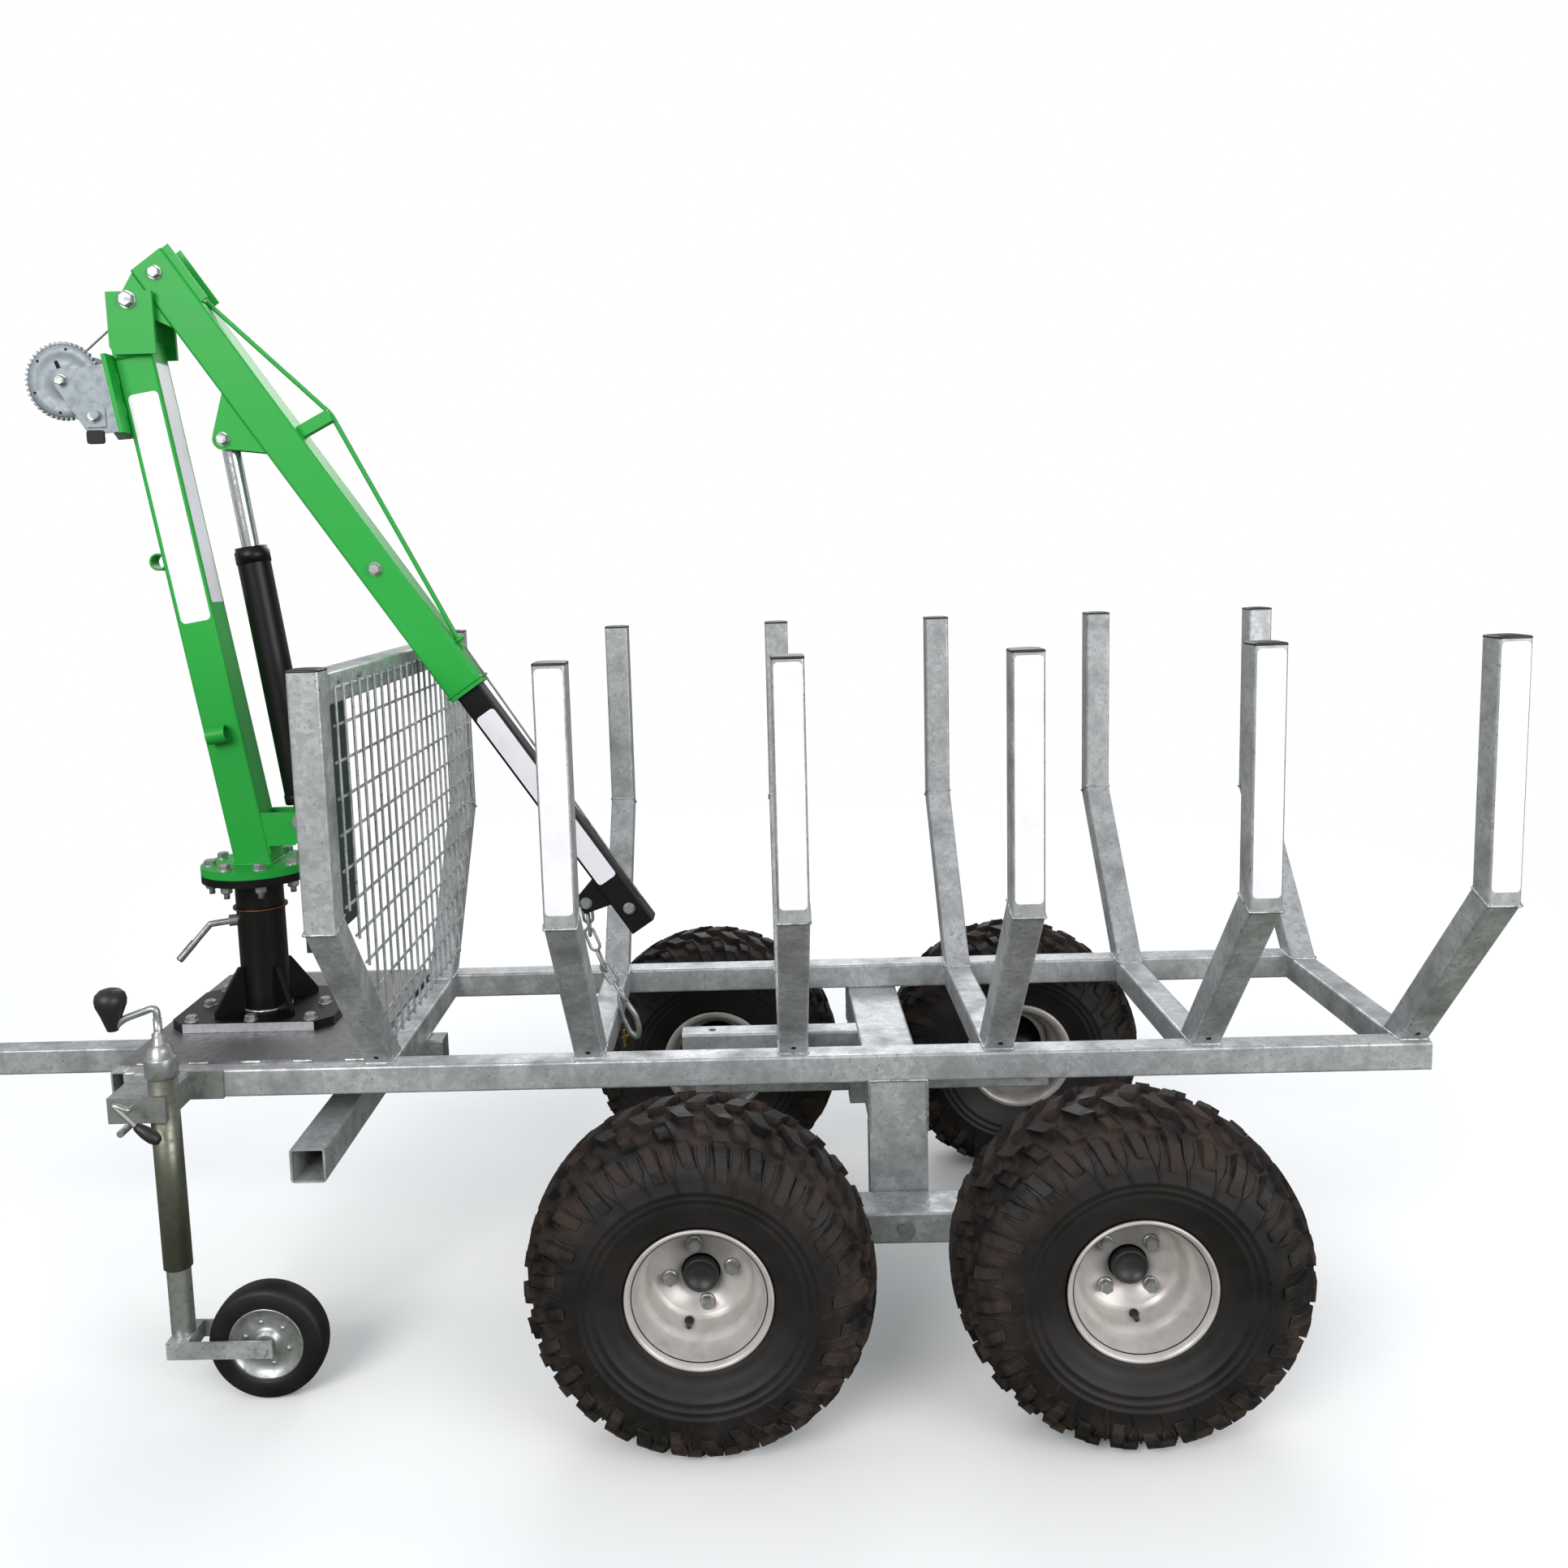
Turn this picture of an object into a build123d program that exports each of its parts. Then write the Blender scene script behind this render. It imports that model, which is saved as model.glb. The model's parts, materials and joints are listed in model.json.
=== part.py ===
from build123d import *
import os
from math import atan2, cos, degrees, hypot, pi, radians, sin, tan

# Forestry crane trailer for a quad bike, in millimetres.
# X runs towards the rear, Y across the trailer and Z up. The origin is on the ground,
# midway along the whole length and on the centre line.

# Box section of the frame
tube = 50.0
tube_wall = 3.0
tube_corner = 5.0

# Ladder frame
frame_width = 570.0
frame_top = 550.0
bolster_count = 5
bolster_spacing = 355.0
headboard_ahead = 367.0
front_overhang = 465.0
front_tube_wide = 25.0
drawbar_reach = 468.0
drawbar_tail = 52.5
coupling_length = 145.0

# Raked stakes: where the foot stands, where the stake bends and how high it ends
stake_foot_inset = 14.4
bunk_width = 1070.0
stake_bend_rise = 304.0
stake_rise = 705.0
cap_thick = 6.0
board_drop = 5.0
cap_corner = 6.0
cap_plug = 12.0

# Deck, headboard mesh and saw scabbards
deck_thick = 5.0
deck_side_gap = 30.0
deck_end_gap = 4.0
mesh_pitch = 43.5
mesh_row = 57.0
mesh_wire = 5.0
scabbard_width = 92.0
scabbard_deep = 16.0
scabbard_wall = 2.0
scabbard_tall = 420.0
scabbard_places = (-430.0, -290.0)
scabbard_hook = 30.0

# Wheels
tyre_diameter = 559.0
tyre_width = 229.0
tyre_wall = 15.0
tyre_bead = 18.0
lug_count = 18
tread_depth = 15.0
tread_inset = 20.0
bead_radius = 101.5
rim_flange_radius = 118.0
rim_width = 189.0
rim_wall = 3.0
rim_well_radius = 86.0
dish_radius = 75.0
dish_depth = 91.5
hub_radius = 42.0
hub_length = 84.0
hub_cap_radius = 29.0
hub_cap_stand = 16.0
bolt_circle = 100.0
bolt_head = 17.0
bolt_stand = 14.0
wheel_outset = 120.5
wheelbase = 677.0

# Bogie: cross beam under the rails, legs and walking beams
axle_beam_wide = 100.0
axle_beam_tall = 80.0
axle_beam_wall = 4.0
bogie_place = 533.0
end_plate_thick = 5.0
end_plate_top = 505.0
end_plate_tall = 94.0
leg_deep = 50.0
leg_foot = 245.0
leg_gap = 1.0
walking_beam_wide = 84.0
walking_beam_tall = 55.0
walking_beam_end = 42.0
pivot_radius = 14.0
stub_radius = 15.0
running_gap = 0.05
sub_beam_reach = 336.0

# Stabiliser receiver
receiver_size = 60.0
receiver_wall = 4.0
receiver_half = 390.0
receiver_place = -462.0

# Crane post and slewing head
crane_place = -655.0
base_plate = 304.0
base_wide = 216.0
base_chamfer = 28.0
base_thick = 18.0
post_radius = 44.5
post_wall = 5.0
post_rise = 195.0
gusset_reach = 60.0
gusset_rise = 85.0
gusset_thick = 8.0
ring_radius = 50.0
ring_thick = 4.0
spindle_radius = 36.0
sleeve_tall = 54.0
flange_radius = 102.0
flange_thick = 15.0
seat_gap = 0.3

# Mast
mast_size = 70.0
mast_wall = 4.0
mast_lean = 9.0
mast_foot_shift = 5.0
mast_rise = 975.0
ear_thick = 8.0
pivot_shift = -139.0
pivot_rise = 1342.0
ear_gap = 6.0
ear_front = 39.0
ear_back = 44.0
ear_above = 15.0
ear_overlap = 22.0
knee_radius = 22.0
pivot_bolt_radius = 10.0
knee_gap = 1.0
clip_radius = 16.0
clip_wall = 3.0
clip_long = 36.0
clip_high = 586.0
clip_low = 254.0

# Boom
boom_drop = 56.0
boom_size = 70.0
boom_wall = 4.0
boom_length = 955.0
pivot_along = 41.3
pivot_below = 66.3
extension_size = 50.0
extension_wall = 4.0
extension_out = 552.0
extension_in = 330.0
pad_length = 60.0
pad_gap = 0.15
guide_along = 394.0
guide_rise = 62.0
guide_wide = 22.0
head_sheave_along = 32.0
head_sheave_radius = 27.0
head_sheave_thick = 24.0
guard_length = 114.0
guard_rise = 14.0
guard_thick = 3.0

# Ram
lug_along = 327.5
lug_below = 83.5
lug_base = 130.0
lug_radius = 20.0
lug_thick = 8.0
lug_gap = 46.0
ram_foot_back = 100.0
ram_foot_rise = 384.5
barrel_radius = 30.0
barrel_start = 34.0
barrel_length = 470.0
rod_radius = 16.0
rod_hidden = 330.0
eye_radius = 20.0
eye_thick = 40.0
ram_pin_radius = 10.0
bracket_height = 74.0

# Winch on the front of the mast
winch_rise = 1222.0
winch_ahead = 88.0
winch_plate_thick = 5.0
winch_inside = 96.0
drum_radius = 26.0
drum_flange_radius = 56.0
gear_radius = 69.0
gear_thick = 10.0
winch_base_thick = 5.0
winch_pad_thick = 8.0
winch_pad_low = 108.0
winch_pad_high = 32.0
gear_gap = 2.0

# Boom tip, chain and hook
tip_bracket_inset = 99.0
tip_bracket_drop = 52.0
tip_bracket_long = 60.0
tip_bracket_thick = 6.0
tip_bolt_radius = 8.0
chain_bar_radius = 6.0
chain_turn = (-5.0, -71.0)
hook_eye = (57.0, -179.0)
hook_shoulder = (81.0, -213.0)
hook_throat = (81.0, -264.0)
hook_bottom = (71.0, -289.0)
hook_point = (56.0, -279.0)
hook_radius = 7.0

# Jockey wheel
jockey_place = -705.0
jockey_out = 80.0
jockey_tube_radius = 24.0
jockey_tube_wall = 3.0
jockey_tube_low = 235.0
jockey_tube_high = 577.0
jockey_stem_top = 395.0
jockey_inner_radius = 20.0
jockey_wheel_radius = 100.0
jockey_wheel_wide = 50.0
jockey_trail = 148.0
fork_gap = 0.5
fork_pin_radius = 10.0
jockey_arm_thick = 5.0
jockey_arm_tall = 30.0
jockey_axle_radius = 8.0
clamp_tall = 44.0
clamp_long = 97.0
crank_rise = 109.0
crank_reach = 74.0

# Places worked out from the sizes above
frame_low = frame_top - tube
rail_y = frame_width / 2 - tube / 2
rail_inner = frame_width / 2 - tube
last_bolster = (bolster_count - 1) * bolster_spacing
rear_end = last_bolster + tube / 2
headboard_x = -headboard_ahead
bolster_places = [headboard_x] + [place * bolster_spacing for place in range(bolster_count)]
front_end = headboard_x - front_overhang
drawbar_tip = front_end - drawbar_reach
coupling_tip = drawbar_tip - coupling_length
stake_y = bunk_width / 2 - tube / 2
foot_outer = frame_width / 2 - stake_foot_inset
rake = atan2(bunk_width / 2 - foot_outer, stake_bend_rise)
foot_y = foot_outer - tube / 2 / cos(rake)
bend_z = frame_top + stake_bend_rise + tube / 2 * tan(rake / 2)
stake_top = frame_top + stake_rise
board_top = stake_top - board_drop
wheel_z = tyre_diameter / 2
leg_outer = frame_width / 2 + end_plate_thick
beam_y = leg_outer + leg_gap + walking_beam_wide / 2
wheel_y = beam_y + walking_beam_wide / 2 + wheel_outset
disc_y = wheel_y + rim_width / 2 - dish_depth
base_low = frame_top + deck_thick
post_low = base_low + base_thick
post_high = post_low + post_rise
sleeve_low = post_high + ring_thick + seat_gap
flange_low = sleeve_low + sleeve_tall
flange_high = flange_low + 2 * flange_thick
jockey_y = -(frame_width / 2 + jockey_out)

# Directions of the crane, in the vertical plane through the centre line
mast_up = (-sin(radians(mast_lean)), cos(radians(mast_lean)))
boom_dir = (cos(radians(boom_drop)), -sin(radians(boom_drop)))
boom_up = (sin(radians(boom_drop)), cos(radians(boom_drop)))
pivot = (crane_place + pivot_shift, frame_top + pivot_rise)
mast_foot = (crane_place + mast_foot_shift, flange_high)
boom_head = (
    pivot[0] - pivot_along * boom_dir[0] + pivot_below * boom_up[0],
    pivot[1] - pivot_along * boom_dir[1] + pivot_below * boom_up[1],
)


def on_boom(along, above):
    """A point in X and Z, given along the boom from its head and above its centre line."""
    x = boom_head[0] + along * boom_dir[0] + above * boom_up[0]
    z = boom_head[1] + along * boom_dir[1] + above * boom_up[1]
    return (x, z)


tip_bracket_along = boom_length + extension_out - tip_bracket_inset


def on_mast(up, back):
    """A point in X and Z, given up the mast from its foot and behind its centre line."""
    x = mast_foot[0] + up * mast_up[0] + back * mast_up[1]
    z = mast_foot[1] + up * mast_up[1] - back * mast_up[0]
    return (x, z)


lug_pin = on_boom(lug_along, -lug_below)
ram_foot = (crane_place + ram_foot_back, frame_top + ram_foot_rise)
ram_length = hypot(lug_pin[0] - ram_foot[0], lug_pin[1] - ram_foot[1])
ram_dir = ((lug_pin[0] - ram_foot[0]) / ram_length, (lug_pin[1] - ram_foot[1]) / ram_length)


def square(size, wall, corner=tube_corner):
    """Section of a square tube."""
    inner = size - 2 * wall
    return RectangleRounded(size, size, corner) - RectangleRounded(inner, inner, max(corner - wall, 1))


def run(start, end, section, side=(0, 1, 0)):
    """Extrude a section from one point to another."""
    way = Vector(*end) - Vector(*start)
    plane = Plane(origin=start, x_dir=side, z_dir=way)
    return extrude(plane * section, amount=way.length)


def rod(start, end, radius):
    """A round bar from one point to another."""
    way = Vector(*end) - Vector(*start)
    side = (0, 1, 0) if abs(way.Y) < 0.9 * way.length else (1, 0, 0)
    return run(start, end, Circle(radius), side)


def block(x_range, y_range, z_range):
    """A box between limits on each axis."""
    size = [b - a for a, b in (x_range, y_range, z_range)]
    middle = [(a + b) / 2 for a, b in (x_range, y_range, z_range)]
    return Pos(*middle) * Box(*size)


def plate_xz(points, y_low, y_high):
    """A flat plate whose outline is given in X and Z, between two Y values."""
    face = make_face(Polyline(*[(x, y_low, z) for x, z in points], close=True))
    return extrude(face, amount=y_high - y_low, dir=(0, 1, 0))


def cross_bar(x, z, y_low, y_high, radius):
    """A round bar across the trailer."""
    return rod((x, y_low, z), (x, y_high, z), radius)


def both_sides(shape):
    """A shape and its mirror image across the centre line, as two solids."""
    return [shape, mirror(shape, about=Plane.XZ)]


# Ladder frame

def side_rails():
    rail = run(
        (front_end + front_tube_wide, -rail_y, frame_low + tube / 2),
        (rear_end, -rail_y, frame_low + tube / 2),
        square(tube, tube_wall),
    )
    return both_sides(rail)


def front_crossmember():
    x = front_end + front_tube_wide / 2
    z = frame_low + tube / 2
    half = frame_width / 2
    inner = Rectangle(front_tube_wide - 2 * tube_wall, tube - 2 * tube_wall)
    section = RectangleRounded(front_tube_wide, tube, tube_wall) - inner
    return [run((x, -half, z), (x, half, z), section, side=(1, 0, 0))]


def cross_tubes():
    z = frame_low + tube / 2
    found = []
    section = square(tube, tube_wall)
    for x in bolster_places:
        found.append(run((x, -rail_inner, z), (x, rail_inner, z), section, side=(1, 0, 0)))
    return found


def deck_plate():
    half = frame_width / 2 - deck_side_gap
    return [block(
        (front_end + deck_end_gap, headboard_x - tube / 2 - deck_end_gap),
        (-half, half),
        (frame_top, base_low),
    )]


def centre_beams():
    z = frame_low - tube / 2
    section = square(tube, tube_wall)
    drawbar = run((drawbar_tip, 0, z), (headboard_x + drawbar_tail, 0, z), section)
    beam_front = bogie_place - axle_beam_wide / 2
    sub_beam = run((beam_front - sub_beam_reach, 0, z), (beam_front, 0, z), section)
    hole = rod(
        (beam_front - sub_beam_reach + 58, 0, z),
        (beam_front - sub_beam_reach + 58, 0, z + tube),
        7,
    )
    return [drawbar, sub_beam - hole]


def receiver_tube():
    z = frame_low - tube - receiver_size / 2
    section = square(receiver_size, receiver_wall, corner=6)
    start = (receiver_place, -receiver_half, z)
    end = (receiver_place, receiver_half, z)
    return [run(start, end, section, side=(1, 0, 0))]


def coupling_head():
    nose = 38.0
    neck = 30.0
    socket = 25.3
    socket_deep = 34.0
    body_low = frame_low - tube - 12
    body_high = frame_low + 4
    nose_x = coupling_tip + nose
    body = rod((nose_x, 0, body_low), (nose_x, 0, body_high - 6), nose)
    body += block((nose_x, drawbar_tip), (-neck, neck), (body_low, body_high))
    cheek = block((drawbar_tip, drawbar_tip + 85), (tube / 2, neck), (frame_low - tube, frame_low))
    body += cheek
    body += mirror(cheek, about=Plane.XZ)
    body -= rod((nose_x, 0, body_low), (nose_x, 0, body_low + socket_deep), socket)
    handle = block((nose_x + 30, nose_x + 44), (-10, 10), (body_high, body_high + 26))
    handle += block((nose_x + 30, nose_x + 120), (-12, 12), (body_high + 26, body_high + 38))
    return [body + handle]


# Stakes, each a raked foot on the rail and an upright post

def mitre(x, side):
    """The plane through the bend of one stake, halving its angle."""
    half = rake / 2
    normal = (0, side * sin(half), cos(half))
    return Plane(origin=(x, side * stake_y, bend_z), x_dir=(1, 0, 0), z_dir=normal)


def stake_places():
    for x in bolster_places:
        for side in (-1, 1):
            yield x, side


def stake_feet():
    reach = 80.0
    slope = (sin(rake), cos(rake))
    found = []
    for x, side in stake_places():
        start = (x, side * (foot_y - reach * slope[0]), frame_top - reach * slope[1])
        end = (x, side * (stake_y + reach * slope[0]), bend_z + reach * slope[1])
        foot = run(start, end, square(tube, tube_wall), side=(1, 0, 0))
        foot = split(foot, bisect_by=Plane(origin=(0, 0, frame_top)), keep=Keep.TOP)
        foot = split(foot, bisect_by=mitre(x, side), keep=Keep.BOTTOM)
        found.append(foot)
    return found


def stake_posts():
    reach = 80.0
    found = []
    for x, side in stake_places():
        y = side * stake_y
        post = run((x, y, bend_z - reach), (x, y, stake_top), square(tube, tube_wall), side=(1, 0, 0))
        found.append(split(post, bisect_by=mitre(x, side), keep=Keep.TOP))
    return found


def stake_caps():
    inner = tube - 2 * tube_wall - 0.2
    found = []
    for x, side in stake_places():
        y = side * stake_y
        lid = extrude(Pos(x, y, stake_top) * RectangleRounded(tube, tube, cap_corner), cap_thick)
        plug = extrude(Pos(x, y, stake_top) * RectangleRounded(inner, inner, 3), -cap_plug)
        found.append(lid + plug)
    return found


# Headboard

def headboard_rail():
    z = board_top - tube / 2
    inner = stake_y - tube / 2
    section = square(tube, tube_wall)
    return [run((headboard_x, -inner, z), (headboard_x, inner, z), section, side=(1, 0, 0))]


def mesh_half_width(z):
    """How far the mesh reaches from the centre line at a height."""
    if z >= bend_z:
        return stake_y
    return foot_y + (z - frame_top) * tan(rake)


def wire_reach(z):
    """The outermost upright wire that a row of the mesh meets."""
    return mesh_half_width(z) // mesh_pitch * mesh_pitch


def headboard_mesh():
    levels = []
    z = board_top - tube / 2
    while z >= frame_top + mesh_row / 2:
        levels.append(z)
        z -= mesh_row
    bars = None
    for z in levels:
        bar = Pos(0, z) * Rectangle(2 * wire_reach(z) + mesh_wire, mesh_wire)
        bars = bar if bars is None else bars + bar
    count = int(stake_y // mesh_pitch)
    for place in range(-count, count + 1):
        y = place * mesh_pitch
        reached = [z for z in levels if wire_reach(z) >= abs(y)]
        middle = (reached[0] + reached[-1]) / 2
        bars += Pos(y, middle) * Rectangle(mesh_wire, reached[0] - reached[-1] + mesh_wire)
    plane = Plane(origin=(headboard_x + tube / 2, 0, 0), x_dir=(0, 1, 0), z_dir=(1, 0, 0))
    return [extrude(plane * bars, amount=mesh_wire)]


def saw_scabbards():
    found = []
    front = headboard_x - tube / 2
    for y in scabbard_places:
        half = scabbard_width / 2
        x_range = (front - scabbard_deep, front)
        high = board_top - tube
        z_range = (high - scabbard_tall + scabbard_hook, high + scabbard_hook)
        sheath = block(x_range, (y - half, y + half), z_range)
        hollow = block(
            (front - scabbard_deep + scabbard_wall, front - scabbard_wall),
            (y - half + scabbard_wall, y + half - scabbard_wall),
            (z_range[0] + scabbard_wall, z_range[1] + 1),
        )
        found.append(sheath - hollow)
    return found


# Bogie

def axle_beam():
    z = frame_low - axle_beam_tall / 2
    half = frame_width / 2
    inner = Rectangle(axle_beam_wide - 2 * axle_beam_wall, axle_beam_tall - 2 * axle_beam_wall)
    section = RectangleRounded(axle_beam_wide, axle_beam_tall, tube_corner) - inner
    return [run((bogie_place, -half, z), (bogie_place, half, z), section, side=(1, 0, 0))]


def axle_legs():
    beam_bottom = frame_low - axle_beam_tall
    half = axle_beam_wide / 2
    plate = block(
        (bogie_place - half, bogie_place + half),
        (-leg_outer, -frame_width / 2),
        (end_plate_top - end_plate_tall, end_plate_top),
    )
    leg = extrude(
        Pos(bogie_place, -leg_outer + leg_deep / 2, leg_foot)
        * (Rectangle(axle_beam_wide, leg_deep) - Rectangle(axle_beam_wide - 8, leg_deep - 8)),
        beam_bottom - leg_foot,
    )
    hole = cross_bar(bogie_place, wheel_z, -leg_outer - 1, -leg_outer + leg_deep + 1, pivot_radius)
    return both_sides(plate + leg - hole)


def walking_beams():
    half = wheelbase / 2 + walking_beam_end
    inner = Rectangle(walking_beam_wide - 8, walking_beam_tall - 8)
    section = RectangleRounded(walking_beam_wide, walking_beam_tall, tube_corner) - inner
    beam = run((bogie_place - half, -beam_y, wheel_z), (bogie_place + half, -beam_y, wheel_z), section)
    y_range = (-beam_y - walking_beam_wide, -beam_y + walking_beam_wide)
    beam -= cross_bar(bogie_place, wheel_z, *y_range, pivot_radius)
    for end in (-1, 1):
        beam -= cross_bar(bogie_place + end * wheelbase / 2, wheel_z, *y_range, stub_radius)
    return both_sides(beam)


def bogie_pins():
    inner = leg_outer - leg_deep - 6
    beam_outer = beam_y + walking_beam_wide / 2
    pin = cross_bar(bogie_place, wheel_z, -beam_outer - 8, -inner, pivot_radius)
    pin += cross_bar(bogie_place, wheel_z, -leg_outer - leg_gap, -leg_outer, pivot_radius + 10)
    found = both_sides(pin)
    for end in (-1, 1):
        x = bogie_place + end * wheelbase / 2
        stub = cross_bar(x, wheel_z, -disc_y, -(beam_y - walking_beam_wide / 2), stub_radius)
        found += both_sides(stub)
    return found


# Wheels

def turned(points, x, y):
    """Revolve an outline, given as radius and distance outwards, about a wheel's axle."""
    side = 1 if y > 0 else -1
    outline = [(x + radius, y + side * out, wheel_z) for radius, out in points]
    face = make_face(Polyline(*outline, close=True))
    return revolve(face, axis=Axis((x, y, wheel_z), (0, 1, 0)))


def tyre_outline():
    """Radius and distance out of a tyre's right half: between lugs, over a lug, and inside."""
    crown = tyre_diameter / 2
    floor = crown - tread_depth
    half = tyre_width / 2
    edge = rim_width / 2 - rim_wall
    side = [(rim_flange_radius, edge), ((rim_flange_radius + floor) / 2, half)]
    low = side + [(floor, half - 36), (floor, tread_inset)]
    high = side + [(crown - 48, half), (crown, half - 42), (crown, tread_inset), (floor, tread_inset)]
    hollow = [
        (floor - tyre_wall, half - 36 - tyre_wall),
        (bead_radius, edge - tyre_bead),
        (bead_radius, edge),
    ]
    return low, high, hollow


def other_half(points):
    """The same outline points on the tyre's left half, in the order that closes the outline."""
    return [(radius, -out) for radius, out in reversed(points)]


def tyre(x, y):
    """A tyre of flat facets whose lugs take turns over its two shoulders."""
    low, high, hollow = tyre_outline()
    turn = pi / lug_count / 2

    def corner(point, step):
        angle = -pi / 2 + (2 * step - 1) * turn
        reach = point[0] / cos(turn)
        return Vector(reach * cos(angle), point[1], reach * sin(angle))

    def flat(corners):
        return Face(Wire.make_polygon(corners, close=True))

    lug_wall = high[1:] + low[2:3]
    facets = []
    for step in range(2 * lug_count):
        right, left = (high, low) if step % 2 == 0 else (low, high)
        outline = right + other_half(left) + other_half(hollow) + hollow
        for one, two in zip(outline, outline[1:] + outline[:1]):
            around = [corner(one, step), corner(two, step), corner(two, step + 1), corner(one, step + 1)]
            facets.append(flat(around))
        facets.append(flat([corner(point, step) for point in lug_wall]))
        facets.append(flat([corner(point, step) for point in other_half(lug_wall)]))
    whole = Solid(Shell(facets))
    if y < 0:
        whole = Rot(0, 0, 180) * whole
    return [Pos(x, y, wheel_z) * whole]


def rim(x, y):
    side = 1 if y > 0 else -1
    half = rim_width / 2
    disc = half - dish_depth
    seat = bead_radius - rim_wall
    outline = [
        (rim_flange_radius, half),
        (rim_flange_radius, half - rim_wall),
        (bead_radius, half - rim_wall),
        (bead_radius, half - 34),
        (rim_well_radius, half - 48),
        (rim_well_radius, -half + 48),
        (bead_radius, -half + 34),
        (bead_radius, -half + rim_wall),
        (rim_flange_radius, -half + rim_wall),
        (rim_flange_radius, -half),
        (seat, -half),
        (seat, -half + 36),
        (rim_well_radius - rim_wall, -half + 50),
        (rim_well_radius - rim_wall, disc - rim_wall),
        (hub_cap_radius, disc - rim_wall),
        (hub_cap_radius, disc),
        (dish_radius, disc),
        (rim_well_radius - rim_wall, disc + 14),
        (rim_well_radius - rim_wall, half - 50),
        (seat, half - 36),
        (seat, half),
    ]
    wheel = turned(outline, x, y)
    hub_out = disc - rim_wall
    barrel = turned([
        (stub_radius + running_gap, hub_out - hub_length),
        (hub_radius, hub_out - hub_length),
        (hub_radius, hub_out - 10),
        (bolt_circle / 2 + 14, hub_out - 10),
        (bolt_circle / 2 + 14, hub_out),
        (hub_cap_radius, hub_out),
        (hub_cap_radius, disc + hub_cap_stand),
        (0, disc + hub_cap_stand),
        (0, disc + 4),
        (stub_radius + running_gap, disc + 4),
    ], x, y)
    wheel += barrel
    for turn in range(4):
        angle = pi / 4 + turn * pi / 2
        bx = x + bolt_circle / 2 * cos(angle)
        bz = wheel_z + bolt_circle / 2 * sin(angle)
        head_y = (y + side * disc, y + side * (disc + bolt_stand))
        wheel += cross_bar(bx, bz, min(head_y), max(head_y), bolt_head / 2)
    return [wheel]


# Crane post, fixed to the deck

def crane_post():
    plate = extrude(Pos(crane_place, 0, base_low) * Rectangle(base_plate, base_wide), base_thick)
    plate = chamfer(plate.edges().filter_by(Axis.Z), base_chamfer)
    post = rod((crane_place, 0, post_low), (crane_place, 0, post_high), post_radius)
    post -= rod((crane_place, 0, post_low), (crane_place, 0, post_high - 30), post_radius - post_wall)
    whole = plate + post
    whole += rod((crane_place, 0, post_high), (crane_place, 0, post_high + ring_thick), ring_radius)
    whole += rod((crane_place, 0, post_high), (crane_place, 0, flange_low - 2), spindle_radius)
    for turn in range(4):
        wedge = plate_xz(
            [
                (post_radius - 2, post_low),
                (post_radius + gusset_reach, post_low),
                (post_radius + gusset_reach, post_low + 10),
                (post_radius + 8, post_low + gusset_rise),
                (post_radius - 2, post_low + gusset_rise),
            ],
            -gusset_thick / 2,
            gusset_thick / 2,
        )
        whole += Pos(crane_place, 0, 0) * Rot(0, 0, 45 + 90 * turn) * wedge
    return [whole]


def slew_lock_lever():
    z = post_high - 22
    start = (crane_place - post_radius + 1, -18, z)
    elbow = (crane_place - post_radius - 42, -32, z - 3)
    end = (crane_place - post_radius - 98, -48, z - 66)
    bar = rod(start, elbow, 6)
    bar += Pos(*elbow) * Sphere(6)
    bar += rod(elbow, end, 6)
    boss = rod((crane_place - 30, -10, z), (crane_place - post_radius - 10, -21, z), 11)
    post = rod((crane_place, 0, post_low), (crane_place, 0, post_high), post_radius + 0.01)
    return [bar + boss - post]


# Slewing head and mast

def slew_sleeve():
    axis = (crane_place, 0)
    sleeve = rod((*axis, sleeve_low), (*axis, flange_low), post_radius)
    sleeve += rod((*axis, flange_low), (*axis, flange_low + flange_thick), flange_radius)
    sleeve -= rod((*axis, sleeve_low), (*axis, flange_low - 1), spindle_radius + running_gap)
    return [sleeve]


def mast_flange():
    axis = (crane_place, 0)
    return [rod((*axis, flange_low + flange_thick), (*axis, flange_high), flange_radius)]


def mast():
    low = on_mast(-30, 0)
    high = on_mast(mast_rise, 0)
    whole = run((low[0], 0, low[1]), (high[0], 0, high[1]), square(mast_size, mast_wall))
    whole = split(whole, bisect_by=Plane(origin=(0, 0, flange_high)), keep=Keep.TOP)
    return [whole]


def ear_outline():
    """An upright plate round the pivot, with its lower front corner cut off."""
    low = on_mast(mast_rise - ear_overlap, 0)[1]
    front = pivot[0] - ear_front
    back = pivot[0] + ear_back
    high = pivot[1] + ear_above
    return [(front + 8, low), (back, low), (back, high), (front, high), (front, low + 14)]


def ear_foot():
    """The part of the mast's side that carries an ear."""
    low = mast_rise - ear_overlap
    edge = mast_size / 2 - 3
    return [on_mast(low, -edge), on_mast(low, edge), on_mast(mast_rise, edge), on_mast(mast_rise, -edge)]


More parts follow.
